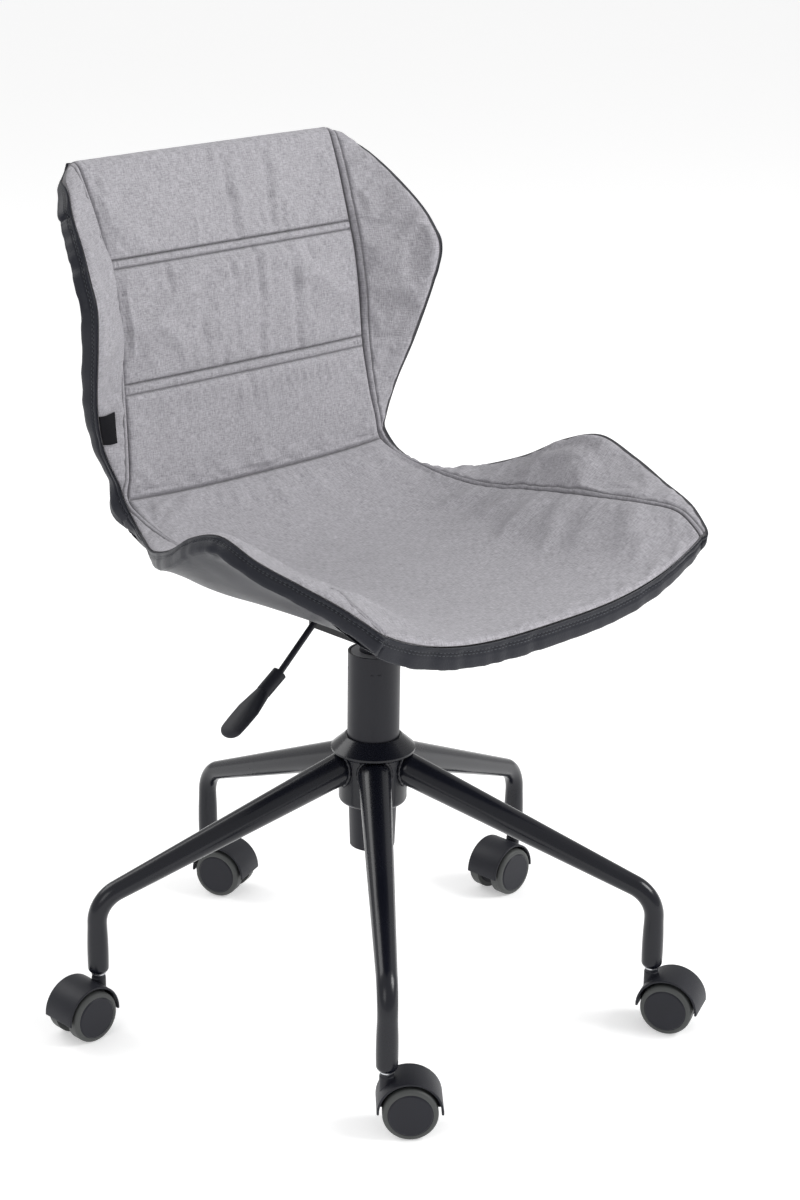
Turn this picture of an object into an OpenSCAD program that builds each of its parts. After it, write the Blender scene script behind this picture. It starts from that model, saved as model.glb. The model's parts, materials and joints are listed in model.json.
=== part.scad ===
// Swivel desk chair: a winged, upholstered one-piece seat and back on a gas
// lift, with a five-legged tube base and twin-wheel castors.
// Millimetres. +Z is up, z = 0 is the floor, and the swivel axis is x = y = 0.
// The chair faces -Y. The seat is drawn at its lowest height.

/* [Base] */
// Radius of the circle that the castor stems stand on
stem_circle_r = 277; // [230:1:340]
// Turn of the star base against the seat, in degrees
base_turn = -40.7; // [-180:0.1:180]
// Fall of the legs below level, in degrees
leg_fall = 22.6; // [16:0.2:28]
// Outer radius of a leg where it leaves the hub
leg_root_r = 16; // [13:0.5:18]
// Outer radius of a leg at its bend and its upright end
leg_end_r = 9.7; // [8.5:0.1:11]
// Wall of the leg tube
leg_wall = 1.5; // [1:0.1:2]
// Radius of the bend, on the centreline
leg_bend_r = 33; // [26:1:45]
// Outer radius of the hub
hub_r = 33; // [30:0.5:38]
// Height of the hub, without its collar
hub_h = 49; // [42:1:56]
// Greatest radius of the collar
collar_r = 40.5; // [36:0.5:46]
// Height of the collar
collar_h = 19; // [15:1:26]

/* [Gas lift] */
// Outer radius of the stand tube
stand_r = 25; // [23:0.5:27]
// Wall of the stand tube
stand_wall = 2; // [1.5:0.1:2.5]
// Length of the stand tube
stand_len = 199; // [180:1:240]
// Radius of the stand tube at its tapered lower end
stand_low_r = 21.7; // [20.5:0.1:22.5]
// How far the stand tube reaches below the hub
stand_drop = 46; // [38:1:58]
// Outer radius of the gas cylinder
cylinder_r = 14; // [13:0.5:15]
// Wall of the gas cylinder
cylinder_wall = 1.5; // [1.2:0.1:2]
// Radius of the piston rod
rod_r = 5; // [4:0.5:6]
// How far the seat rises
lift_travel = 120; // [60:1:125]

/* [Castors] */
// Radius of a castor wheel
wheel_r = 25; // [22:0.5:30]
// Width of one wheel
wheel_w = 15; // [13:0.5:17]
// Gap between a castor's two wheels
wheel_gap = 15; // [14:0.5:18]
// Distance from the swivel stem to the axle
trail = 20.5; // [17:0.5:22]
// Height of the castor, up to the flange on its stem
castor_h = 58.3; // [54.5:0.1:66]
// Wall of the hood
hood_wall = 2.2; // [1.8:0.1:2.6]
// Radius of the upper stem, which the leg holds
stem_r = 5.5; // [5:0.1:6]
// Headings of the five castors, in degrees from +X
castor_turn = [318, 295, 183, 292, 181];

/* [Seat] */
// Scale of the seat and back across the chair
seat_width_factor = 1; // [0.9:0.01:1.1]
// Thickness of the seat and back in the middle
shell_depth = 30; // [27:1:34]
// Thickness of the seat and back at the edge
edge_depth = 20; // [17:0.5:23]
// Foam and fabric in the middle
pad_depth = 15; // [13:0.5:16]
// Thickness of the moulded plywood
ply_depth = 9; // [7:0.5:10]
// Length of the mounting plate, front to back
plate_len = 150; // [130:1:165]
// Width of the mounting plate
plate_w = 176; // [170:1:185]
// Sheet thickness of the mounting plate
plate_t = 3; // [2:0.5:4]

/* [Lever] */
// Radius of the lever rod
lever_r = 3; // [2.5:0.25:3.5]
// How far out the rod bends down
lever_bend_x = 72; // [66:1:84]
// Fall of the lever's outer stretch, in degrees
lever_fall = 42; // [30:1:50]
// Fall of the grip, in degrees
grip_fall = 34.5; // [28:0.5:44]
// Length of the outer stretch of bare rod
lever_len = 64; // [50:1:80]
// Length of the grip
grip_len = 80; // [60:1:95]

/* [Hidden] */
$fn = 48;
// radial running clearance of shafts and bores
run_gap = 0.05;
// a joint's gap between flat faces
face_gap = 0.3;
legs = 5;

// ---------------------------------------------------------------- base
// the bend turns the tube from leg_fall to straight down
bend_turn = 90 - leg_fall;
bend_x = stem_circle_r - leg_bend_r;
// the upright end reaches from the castor's flange to the bend
upright_h = 51.7;
bend_z = castor_h + upright_h;
slope_end = [bend_x + leg_bend_r * cos(bend_turn), bend_z + leg_bend_r * sin(bend_turn)];
root_x = 24;
root_z = slope_end[1] + (slope_end[0] - root_x) * tan(leg_fall);
slope_len = (slope_end[0] - root_x) / cos(leg_fall);
// the legs' centrelines meet the hub's wall in the upper half of the hub
hub_top_z = root_z - (hub_r - root_x) * tan(leg_fall) + 12.5;
hub_low_z = hub_top_z - hub_h;
stand_low_z = hub_low_z - stand_drop;
stand_top_z = stand_low_z + stand_len;
stand_bore_r = stand_r - stand_wall;
// the lower end is pressed into the hub on a slight taper
taper_top_z = hub_top_z - 4;
hub_bore_r = stand_r + 0.5;
socket_r = leg_end_r - leg_wall;
socket_len = 30;
// the rounded tip closes the tube's end round the stem
tip_round = 5;
stem_hole_r = stem_r + 0.2;
stem_flange_h = 1.2;
stem_flange_r = stem_r + 1.3;

// sizes of the castor, in a frame with its stem on the z axis and its axle along y
axle_r = 3;
stem_low_r = 4;
neck_r = stem_flange_r;
wheel_in = wheel_gap / 2;
wheel_out = wheel_in + wheel_w;
hood_gap = 2.6;
hood_in_r = wheel_r + hood_gap;
hood_r = hood_in_r + hood_wall;
hood_side = wheel_out - 3.4;
cap_r = wheel_r - 4.7;
web_half = wheel_in - 1;
stem_low_z = wheel_r - 2;

module at_leg(k) { rotate([0, 0, base_turn + 360 / legs * k - 90]) children(); }

module at_castor(k) {
    at_leg(k) translate([stem_circle_r, 0, 0])
        rotate([0, 0, castor_turn[k] - (base_turn + 360 / legs * k - 90)]) children();
}

// a cone of length len from p along the leg's fall, in the plane y = 0
module sloping(p, len, r1, r2) {
    translate([p[0], 0, p[1]]) rotate([0, 90 + leg_fall, 0]) cylinder(h = len, r1 = r1, r2 = r2);
}

// the bend is drawn a hair thinner than the straight stretches, and laps into the
// sloping one, so that the three are one tube
module bend(r) {
    lap = 3;
    thinner = 0.1;
    translate([bend_x, 0, bend_z]) rotate([90, 0, 0])
        rotate_extrude(angle = bend_turn + lap, $fn = 96) translate([leg_bend_r, 0]) circle(r = r - thinner);
}

module leg(k) {
    color("#17181c") at_leg(k) difference() {
        union() {
            sloping([root_x, root_z], slope_len, leg_root_r, leg_end_r);
            bend(leg_end_r);
            translate([stem_circle_r, 0, castor_h]) rotate_extrude() {
                translate([0, tip_round]) square([leg_end_r, upright_h - tip_round]);
                square([leg_end_r - tip_round, tip_round]);
                translate([leg_end_r - tip_round, tip_round]) intersection() {
                    circle(r = tip_round);
                    translate([0, -tip_round]) square(tip_round);
                }
            }
        }
        sloping([root_x, root_z], slope_len, leg_root_r - leg_wall, leg_end_r - leg_wall);
        bend(leg_end_r - leg_wall);
        translate([stem_circle_r, 0, castor_h]) {
            translate([0, 0, tip_round]) cylinder(h = upright_h - tip_round, r = socket_r);
            translate([0, 0, -1]) cylinder(h = tip_round + 2, r = stem_hole_r);
        }
        cylinder(h = hub_top_z + 50, r = hub_r);
        collar_form();
    }
}

module hub() {
    round_r = 5;
    color("#17181c") difference() {
        translate([0, 0, hub_low_z]) rotate_extrude($fn = 96) {
            translate([0, round_r]) square([hub_r, hub_h - round_r]);
            square([hub_r - round_r, round_r]);
            translate([hub_r - round_r, round_r]) circle(r = round_r);
        }
        hub_bore();
    }
}

// the bore follows the stand tube's taper
module hub_bore() {
    translate([0, 0, stand_low_z]) cylinder(h = taper_top_z - stand_low_z, r1 = stand_low_r, r2 = stand_r, $fn = 96);
    translate([0, 0, taper_top_z]) cylinder(h = 60, r = hub_bore_r, $fn = 96);
}

// a flared ring that is welded on top of the hub and throws water off the legs' roots
module hub_collar() {
    color("#1b1c20") difference() {
        collar_form();
        cylinder(h = hub_top_z + collar_h + 1, r = hub_bore_r, $fn = 96);
    }
}

module collar_form() {
    lip_z = 6;
    mouth_r = hub_bore_r + 1.8;
    translate([0, 0, hub_top_z]) rotate_extrude($fn = 96)
        polygon([[0, 0], [hub_r, 0], [collar_r, lip_z - 1], [collar_r, lip_z + 1],
            [mouth_r, collar_h], [0, collar_h]]);
}

module caster_sockets() {
    color("#3a3b3e") for (k = [0 : legs - 1]) at_leg(k) translate([stem_circle_r, 0, castor_h + tip_round])
        difference() {
            cylinder(h = socket_len, r = socket_r);
            translate([0, 0, -1]) cylinder(h = socket_len - 3, r = stem_hole_r);
        }
}

module caster_stems() {
    ring_slot_z = 12;
    color("#c9ccd2") for (k = [0 : legs - 1]) at_castor(k) difference() {
        union() {
            translate([0, 0, stem_low_z]) cylinder(h = castor_h - stem_low_z, r = stem_low_r);
            translate([0, 0, castor_h - stem_flange_h]) cylinder(h = stem_flange_h, r = stem_flange_r);
            translate([0, 0, castor_h]) cylinder(h = 28, r = stem_r);
            translate([0, 0, castor_h + 28]) cylinder(h = 2, r1 = stem_r, r2 = stem_r - 1.5);
        }
        translate([0, 0, castor_h + ring_slot_z]) difference() {
            cylinder(h = 3, r = stem_r + 1);
            translate([0, 0, -1]) cylinder(h = 5, r = stem_r - 1.2);
        }
    }
}

// split spring rings that snap the stems into their sockets
module caster_grip_rings() {
    color("#b9bcc2") for (k = [0 : legs - 1]) at_castor(k)
        translate([0, 0, castor_h + 12.4]) difference() {
            cylinder(h = 2.2, r = stem_r + 0.15);
            translate([0, 0, -1]) cylinder(h = 5, r = stem_r - 1.1);
            translate([stem_r / 2, 0, 1]) cube([stem_r + 2, 2, 4], center = true);
        }
}

// ------------------------------------------------------------ gas lift
foot_t = 5;
clip_z = stand_low_z + 3;
foot_z = clip_z + 3.5;
bearing_h = 9;
cap_h = 14;
cylinder_low_z = foot_z + foot_t + bearing_h + 2;
cone_len = 34;
// the taper that carries the seat starts this far above the stand tube
cylinder_neck = 8;
cone_low_z = stand_top_z + cylinder_neck;
cone_top_z = cone_low_z + cone_len;
cone_top_r = cylinder_r - 1.2;
piston_h = 12;
piston_z = cylinder_low_z + cap_h + lift_travel + 3;
button_r = 3;
button_up = 5;

module stand_tube() {
    slot_z = stand_len - 16;
    color("#25262b") translate([0, 0, stand_low_z]) difference() {
        union() {
            cylinder(h = taper_top_z - stand_low_z, r1 = stand_low_r, r2 = stand_r, $fn = 96);
            translate([0, 0, taper_top_z - stand_low_z])
                cylinder(h = stand_len - (taper_top_z - stand_low_z), r = stand_r, $fn = 96);
        }
        translate([0, 0, foot_z - stand_low_z + foot_t])
            cylinder(h = taper_top_z - foot_z - foot_t, r1 = stand_low_r - stand_wall, r2 = stand_bore_r, $fn = 96);
        translate([0, 0, taper_top_z - stand_low_z - 0.01]) cylinder(h = stand_len, r = stand_bore_r, $fn = 96);
        translate([0, 0, -1]) cylinder(h = foot_z - stand_low_z + 1, r = stand_low_r - stand_wall);
        cylinder(h = 40, r = rod_r + 0.5);
        // crimp marks that lock the bush, in pairs round the rim
        for (a = [0 : 90 : 270], side = [-4, 4]) rotate([0, 0, a + side * 2 + 50])
            translate([stand_r, 0, slot_z]) cube([1.2, 3.6, 1.6], center = true);
    }
}

bush_len = 100;
module guide_bush() {
    rim_t = 1.6;
    color("#8f9196") translate([0, 0, stand_top_z - bush_len]) difference() {
        union() {
            cylinder(h = bush_len - rim_t, r = stand_bore_r, $fn = 96);
            translate([0, 0, bush_len - rim_t]) cylinder(h = rim_t, r1 = stand_bore_r, r2 = stand_bore_r - 1.2, $fn = 96);
        }
        translate([0, 0, -1]) cylinder(h = bush_len + 2, r = cylinder_r + run_gap);
        // the bush is relieved behind its guide lands
        for (a = [0 : 60 : 300]) rotate([0, 0, a]) translate([stand_bore_r - 1.9, 0, bush_len / 2 - 12])
            cylinder(h = bush_len - 46, r = 2.6, center = true);
    }
}

module thrust_bearing() {
    washer_h = 2;
    race_r = 14;
    color("#aeb1b7") translate([0, 0, foot_z + foot_t]) {
        for (z = [0, bearing_h - washer_h]) translate([0, 0, z]) difference() {
            cylinder(h = washer_h, r = race_r);
            translate([0, 0, -1]) cylinder(h = washer_h + 2, r = rod_r + run_gap);
        }
        translate([0, 0, washer_h]) difference() {
            cylinder(h = bearing_h - 2 * washer_h, r = race_r - 1.5);
            translate([0, 0, -1]) cylinder(h = bearing_h, r = rod_r + 2.2);
        }
    }
}

// washer and spring clip that keep the rod in the stand tube's foot
module base_clip() {
    color("#c3c6cb") translate([0, 0, clip_z]) {
        translate([0, 0, 1.5]) difference() {
            cylinder(h = 2, r = 11);
            translate([0, 0, -1]) cylinder(h = 4, r = rod_r + run_gap);
        }
        difference() {
            cylinder(h = 1.2, r = 9);
            translate([0, 0, -1]) cylinder(h = 4, r = rod_r - 0.9);
            translate([6, 0, 0]) cube([12, 4, 6], center = true);
        }
    }
}

module piston_rod() {
    rod_low_z = clip_z - 3;
    color("#d5d8dd") difference() {
        translate([0, 0, rod_low_z]) cylinder(h = piston_z + piston_h + 2 - rod_low_z, r = rod_r);
        translate([0, 0, clip_z - face_gap]) difference() {
            cylinder(h = 1.2 + 2 * face_gap, r = rod_r + 1);
            translate([0, 0, -1]) cylinder(h = 4, r = rod_r - 1);
        }
    }
}

module piston() {
    color("#5b5e64") translate([0, 0, piston_z]) difference() {
        cylinder(h = piston_h, r = cylinder_r - cylinder_wall - run_gap);
        translate([0, 0, -1]) cylinder(h = piston_h + 2, r = rod_r);
        translate([0, 0, piston_h / 2 - 1]) difference() {
            cylinder(h = 2, r = cylinder_r);
            translate([0, 0, -1]) cylinder(h = 4, r = cylinder_r - cylinder_wall - 2);
        }
    }
}

module gas_cylinder() {
    head_h = 24;
    color("#2a2b30") difference() {
        union() {
            translate([0, 0, cylinder_low_z]) cylinder(h = cone_low_z - cylinder_low_z, r = cylinder_r);
            translate([0, 0, cone_low_z]) cylinder(h = cone_len, r1 = cylinder_r, r2 = cone_top_r);
        }
        translate([0, 0, cylinder_low_z + cap_h])
            cylinder(h = cone_top_z - head_h - cylinder_low_z - cap_h, r = cylinder_r - cylinder_wall);
        translate([0, 0, cylinder_low_z - 1]) cylinder(h = cap_h + 2, r = rod_r + run_gap);
        translate([0, 0, cone_top_z - 14]) cylinder(h = 20, r = button_r + run_gap);
    }
}

module release_button() {
    color("#c9ccd2") translate([0, 0, cone_top_z - 9]) {
        cylinder(h = 9 + button_up - 0.8, r = button_r);
        translate([0, 0, 9 + button_up - 0.8]) cylinder(h = 0.8, r1 = button_r, r2 = button_r - 0.8);
    }
}

// --------------------------------------------------- seat mechanism
// the lever hangs just clear of the button, so that its far side can dip as it tilts
lever_lift = 0.3;
lever_z = cone_top_z + button_up + lever_r + lever_lift;
plate_top_z = lever_z + lever_r + 5;
pan_w = 104;
pan_len = 84;
pan_low_z = plate_top_z - 31;
pivot_x = -38;
screw_x = plate_w / 2 - 14;
screw_y = plate_len / 2 - 14;
screw_r = 3;
// the nuts lie within the plywood, this far above the plate
nut_low = 9;
nut_h = 6.4;

module rounded(w, l, r) {
    square([w - 2 * r, l], center = true);
    square([w, l - 2 * r], center = true);
    for (sx = [-1, 1], sy = [-1, 1]) translate([sx * (w / 2 - r), sy * (l / 2 - r)]) circle(r = r);
}

// pressed steel pan with a flange that is screwed under the seat
module mounting_plate() {
    color("#1d1e22") difference() {
        union() {
            translate([0, 0, plate_top_z - plate_t]) linear_extrude(plate_t) rounded(plate_w, plate_len, 10);
            translate([0, 0, pan_low_z]) linear_extrude(plate_top_z - pan_low_z) rounded(pan_w, pan_len, 12);
        }
        translate([0, 0, pan_low_z + plate_t]) linear_extrude(60)
            rounded(pan_w - 2 * plate_t, pan_len - 2 * plate_t, 9);
        translate([0, 0, pan_low_z - 1]) cylinder(h = 10, r = cylinder_r + 5);
        for (sx = [-1, 1], sy = [-1, 1]) translate([sx * screw_x, sy * screw_y, 0])
            cylinder(h = plate_top_z + 10, r = screw_r + 0.3);
        // slot for the lever, through the side wall and the flange above its swing
        translate([-plate_w / 2 - 1, -lever_r - 4, lever_z - lever_r - 2])
            cube([plate_w / 2 - pan_w / 2 + 7, 2 * lever_r + 8, 20]);
    }
}

// tapered tube through the pan's floor, which the gas cylinder's cone wedges into
module taper_socket() {
    socket_wall = 5;
    low_z = cone_low_z + 8;
    color("#1d1e22") difference() {
        translate([0, 0, low_z]) cylinder(h = cone_top_z - 6 - low_z, r = cylinder_r + socket_wall);
        translate([0, 0, cone_low_z]) cylinder(h = cone_len, r1 = cylinder_r, r2 = cone_top_r);
    }
}

// two ears and a pin that the lever rocks on
module pivot_bracket() {
    ear_t = 3;
    ear_gap = 2 * lever_r + 4;
    color("#2a2b30") translate([pivot_x, 0, 0]) {
        difference() {
            for (s = [-1, 1]) translate([-7, s * (ear_gap / 2 + ear_t / 2) - ear_t / 2, pan_low_z + plate_t])
                cube([14, ear_t, lever_z + 4 - pan_low_z - plate_t]);
            translate([0, 0, lever_z]) rotate([90, 0, 0]) cylinder(h = 40, r = 1.5, center = true);
        }
        translate([0, 0, lever_z]) rotate([90, 0, 0]) cylinder(h = ear_gap + 2 * ear_t + 2, r = 1.5, center = true);
    }
}

module plate_screws() {
    head_h = 3.5;
    color("#c9ccd2") for (sx = [-1, 1], sy = [-1, 1]) translate([sx * screw_x, sy * screw_y, 0]) difference() {
        union() {
            translate([0, 0, plate_top_z - plate_t - head_h]) cylinder(h = head_h, r = 6);
            translate([0, 0, plate_top_z - plate_t]) cylinder(h = plate_t + nut_low + nut_h - 2, r = screw_r);
        }
        translate([0, 0, plate_top_z - plate_t - head_h - 1]) cylinder(h = 3, r = 2.3, $fn = 6);
    }
}

// nuts with a flange, pressed into the plywood from above
module insert_nuts() {
    color("#c3c6cb") for (sx = [-1, 1], sy = [-1, 1]) translate([sx * screw_x, sy * screw_y, plate_top_z]) difference() {
        union() {
            translate([0, 0, nut_low]) cylinder(h = nut_h, r = 4.5);
            translate([0, 0, nut_low + nut_h]) cylinder(h = 1.2, r = 10);
        }
        cylinder(h = 30, r = screw_r);
    }
}

// ------------------------------------------------------------- seat
// Stations of the upholstered face, from the top of the back, round the crease,
// to the front of the seat. Each has the middle (y, z), the seam (x, y, z) where
// the wing leaves the panel, and the edge (x, y, z). Heights are above the plate.
STATIONS = [
    [[237, 394], [156, 233, 395], [171, 231, 391]],
    [[219, 356], [153, 215, 356], [193, 193, 357]],
    [[205, 328], [151, 204, 328], [204, 163, 329]],
    [[194, 303], [150, 195, 303], [211, 143, 304]],
    [[187, 278], [150, 188, 278], [213, 131, 278]],
    [[180, 241], [150, 181, 241], [209, 137, 241]],
    [[174, 186], [151, 175, 186], [200, 153, 183]],
    [[168, 141], [154, 168, 141], [188, 163, 141]],
    [[162, 108], [158, 162, 109], [175, 163, 109]],
    [[157, 84], [162, 159, 89], [169, 158, 92]],
    [[136, 68], [165, 137, 78], [177, 135, 73]],
    [[106, 54], [168, 108, 72], [188, 109, 65]],
    [[70, 42], [170, 74, 67], [206, 73, 71]],
    [[30, 36], [173, 26, 66], [225, 26, 88]],
    [[-20, 34], [176, -20, 73], [236, -18, 112]],
    [[-65, 33], [179, -66, 79], [239, -62, 124]],
    [[-110, 32], [182, -111, 84], [238, -108, 112]],
    [[-155, 33], [190, -155, 87], [229, -152, 100]],
    [[-195, 34], [202, -192, 84], [220, -195, 88]],
    [[-226, 34], [198, -226, 68], [206, -229, 70]]];

function lerp(a, b, t) = a + (b - a) * t;
function smooth(t) = let (c = min(max(t, 0), 1)) c * c * (3 - 2 * c);
function last(list) = len(list) - 1;

// a smooth curve through the list's values, with s running from 0 to its last index
function spline(list, s) =
    let (i = min(floor(s), last(list) - 1), t = s - i,
        a = list[max(i - 1, 0)], b = list[i], c = list[i + 1], d = list[min(i + 2, last(list))])
    b + 0.5 * t * (c - a + t * (2 * a - 5 * b + 4 * c - d + t * (3 * (b - c) + d - a)));

mid_line = [for (s = STATIONS) [0, s[0][0], s[0][1]]];
seam_line = [for (s = STATIONS) [s[1][0] * seat_width_factor, s[1][1], s[1][2]]];
edge_line = [for (s = STATIONS) [s[2][0] * seat_width_factor, s[2][1], s[2][2]]];

// share of the half width that the panel takes, and how round the dish is
panel_share = 0.72;
dish = 3;

// a point on the upholstered face: u from -1 to 1 across, v from 0 (top) to 1 (front)
function face(u, v) =
    let (s = v * last(STATIONS), a = abs(u), side = sign(u),
        mid = spline(mid_line, s), seam = spline(seam_line, s), edge = spline(edge_line, s),
        in = min(a / panel_share, 1), out = max(a - panel_share, 0) / (1 - panel_share),
        x = lerp(0, seam[0], in) + (edge[0] - seam[0]) * out,
        y = lerp(mid[1], seam[1], pow(in, dish)) + (edge[1] - seam[1]) * out,
        z = lerp(mid[2], seam[2], pow(in, dish)) + (edge[2] - seam[2]) * out)
    [side * x, y, z + plate_top_z];

function unit(a) = a / norm(a);
// the direction from the face into the shell
function inward(u, v) =
    let (du = 0.03, dv = 0.012, p = face(min(u + du, 1), v), q = face(max(u - du, -1), v),
        r = face(u, min(v + dv, 1)), s = face(u, max(v - dv, 0)))
    unit(cross(p - q, s - r)) * -1;

// total thickness under the face: thinner towards the sides, the top and the front
function depth(u, v) =
    let (side = 1 - smooth((abs(u) - 0.6) / 0.4), top = smooth(v / 0.1),
        front = 1 - 0.3 * smooth((v - 0.9) / 0.1))
    lerp(edge_depth, shell_depth, side * top * front);

// the underside is pressed flat where the mounting plate sits
function flat_share(p) =
    (1 - smooth((abs(p[0]) - plate_w / 2 - 2) / 40)) * (1 - smooth((abs(p[1]) - plate_len / 2 - 2) / 40));

// a point at share d of the way from the face to the back of the shell
function inside(u, v, d) =
    let (p = face(u, v), q = p + inward(u, v) * depth(u, v),
        f = q[2] < plate_top_z + 25 ? flat_share(q) : 0,
        low = [q[0], q[1], lerp(q[2], plate_top_z, f)])
    lerp(p, low, d);

face_nu = 16;
face_nv = 30;
function grid(u1, v0, v1, d) =
    [for (j = [0 : face_nv], i = [0 : face_nu])
        inside(lerp(-u1, u1, i / face_nu), lerp(v0, v1, j / face_nv), d)];

row_n = face_nu + 1;
grid_n = row_n * (face_nv + 1);
// indices of a grid's border, in one closed loop
border = concat(
    [for (i = [0 : face_nu - 1]) i],
    [for (j = [0 : face_nv - 1]) j * row_n + face_nu],
    [for (i = [0 : face_nu - 1]) face_nv * row_n + face_nu - i],
    [for (j = [0 : face_nv - 1]) (face_nv - j) * row_n]);

function quad(a, b, c, d, flip) = flip ? [[a, b, c], [a, c, d]] : [[a, c, b], [a, d, c]];
function sheet(start, flip) =
    [for (j = [0 : face_nv - 1], i = [0 : face_nu - 1])
        let (a = start + j * row_n + i)
        each quad(a, a + 1, a + row_n + 1, a + row_n, flip)];
function wall(loop_a, loop_b, flip) =
    [for (i = [0 : last(loop_a)])
        let (k = (i + 1) % len(loop_a))
        each quad(loop_a[i], loop_a[k], loop_b[k], loop_b[i], flip)];
function shift(list, n) = [for (a = list) a + n];

// a layer of the seat between two shares of its thickness
module layer(u1, v0, v1, d0, d1) {
    polyhedron(points = concat(grid(u1, v0, v1, d0), grid(u1, v0, v1, d1)),
        faces = concat(sheet(0, false), sheet(grid_n, true), wall(border, shift(border, grid_n), true)));
}

rim_u = 0.965;
rim_v = 0.012;
pad_share = pad_depth / shell_depth;
ply_share = pad_share + ply_depth / shell_depth;

module seat_pad() {
    color("#b9b8bb") layer(rim_u, rim_v, 1 - rim_v, 0, pad_share);
}

module seat_shell() {
    color("#c79f6b") layer(rim_u, rim_v, 1 - rim_v, pad_share, ply_share);
}

// the cover is a tray: its floor lies under the plywood and its rim wraps the edge;
// its inner walls are split as the pad's and the plywood's are, so that they meet face to face
module rear_cover() {
    outer = shift(border, grid_n);
    loop_out = [for (i = [0 : last(border)]) 2 * grid_n + i];
    loop_in = shift(loop_out, len(border));
    loop_mid = shift(loop_in, len(border));
    color("#23262c") polyhedron(
        points = concat(grid(rim_u, rim_v, 1 - rim_v, ply_share), grid(1, 0, 1, 1),
            [for (b = border) grid(1, 0, 1, 0)[b]],
            [for (b = border) grid(rim_u, rim_v, 1 - rim_v, 0)[b]],
            [for (b = border) grid(rim_u, rim_v, 1 - rim_v, pad_share)[b]]),
        faces = concat(sheet(0, false), sheet(grid_n, true),
            wall(loop_out, outer, true), wall(loop_in, loop_out, true),
            wall(loop_in, loop_mid, false), wall(loop_mid, border, false)));
}

// a blank woven label that lies on the back's left wing, beside its edge
module label_tag() {
    label_u = -0.93;
    label_v = 0.335;
    lift = 2.1;
    p = face(label_u, label_v);
    n = inward(label_u, label_v);
    color("#101114") translate(p - lift * n) rotate([0, asin(n[2]), atan2(-n[1], -n[0])])
        cube([1, 16, 30], center = true);
}

// ------------------------------------------------------------ lever
grip_start = [-lever_bend_x - lever_len * cos(lever_fall), lever_z - lever_len * sin(lever_fall)];
// length of rod inside the grip
grip_hold = 18;
module along_lever(p) { translate([p[0], 0, p[1]]) rotate([0, -90 - lever_fall, 0]) children(); }

module lever_rod() {
    inner_x = 4;
    // the forged bend is a little thicker than the rod
    knuckle = 0.3;
    color("#15161a") difference() {
        union() {
            translate([inner_x, 0, lever_z]) rotate([0, -90, 0])
                cylinder(h = inner_x + lever_bend_x, r = lever_r);
            translate([-lever_bend_x, 0, lever_z]) sphere(r = lever_r + knuckle);
            along_lever([-lever_bend_x, lever_z]) cylinder(h = lever_len + grip_hold, r = lever_r);
            translate([pivot_x, 0, lever_z]) rotate([90, 0, 0]) cylinder(h = 2 * lever_r + 2, r = 5, center = true);
        }
        translate([pivot_x, 0, lever_z]) rotate([90, 0, 0]) cylinder(h = 30, r = 1.5 + run_gap, center = true);
    }
}

// moulded paddle grip: a round neck that flattens into a wide blade
module lever_grip() {
    neck_r = 7;
    blade_r = 13;
    flat = 0.36;
    color("#1a1b1e") difference() {
        translate([grip_start[0], 0, grip_start[1]]) rotate([0, -90 - grip_fall, 0]) {
            cylinder(h = 24, r = neck_r);
            hull() {
                translate([0, 0, 20]) cylinder(h = 2, r = 6, $fn = 32);
                translate([0, 0, grip_len - 34]) scale([flat, 1, 1]) cylinder(h = 14, r = blade_r, $fn = 32);
                translate([0, 0, grip_len - 10]) scale([flat, 1, 0.8]) sphere(r = blade_r - 0.5, $fn = 32);
            }
        }
        along_lever(grip_start) translate([0, 0, -1]) cylinder(h = grip_hold + 1, r = lever_r);
    }
}

// ---------------------------------------------------------- castors
module across(y0, y1, r) { translate([0, y0, 0]) rotate([-90, 0, 0]) cylinder(h = y1 - y0, r = r); }

module hood(k) {
    lip_z = wheel_r - 1;
    color("#26272b") at_castor(k) difference() {
        union() {
            intersection() {
                translate([trail, 0, wheel_r]) difference() {
                    across(-hood_side, hood_side, hood_r, $fn = 96);
                    across(web_half, hood_side + 1, hood_in_r);
                    across(-hood_side - 1, -web_half, hood_in_r);
                }
                translate([-100, -50, lip_z]) cube([200, 100, 100]);
            }
            translate([trail, 0, wheel_r]) across(-web_half, web_half, 8);
            translate([0, 0, lip_z]) cylinder(h = castor_h - stem_flange_h - face_gap - lip_z, r = neck_r);
        }
        translate([0, 0, stem_low_z - face_gap]) cylinder(h = 100, r = stem_low_r + run_gap);
        translate([trail, 0, wheel_r]) across(-50, 50, axle_r);
    }
}

module axle(k) {
    color("#c9ccd2") at_castor(k) translate([trail, 0, wheel_r]) across(-wheel_out + 4, wheel_out - 4, axle_r);
}

// side is 1 for the wheel at +Y of the castor's own frame and -1 for the other
module on_axle(k, side) {
    at_castor(k) translate([trail, 0, wheel_r]) mirror([0, side < 0 ? 1 : 0, 0]) rotate([-90, 0, 0]) children();
}

module wheel(k, side) {
    dome = 1;
    color("#2b2d31") on_axle(k, side) difference() {
        union() {
            translate([0, 0, wheel_in + 1]) cylinder(h = wheel_w - 1 - dome, r = cap_r);
            translate([0, 0, wheel_out - dome]) cylinder(h = dome, r1 = cap_r, r2 = cap_r - 1.5);
            translate([0, 0, wheel_in]) cylinder(h = 1, r = 8);
        }
        translate([0, 0, wheel_in - 1]) cylinder(h = wheel_w - 2, r = axle_r + run_gap);
    }
}

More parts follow.
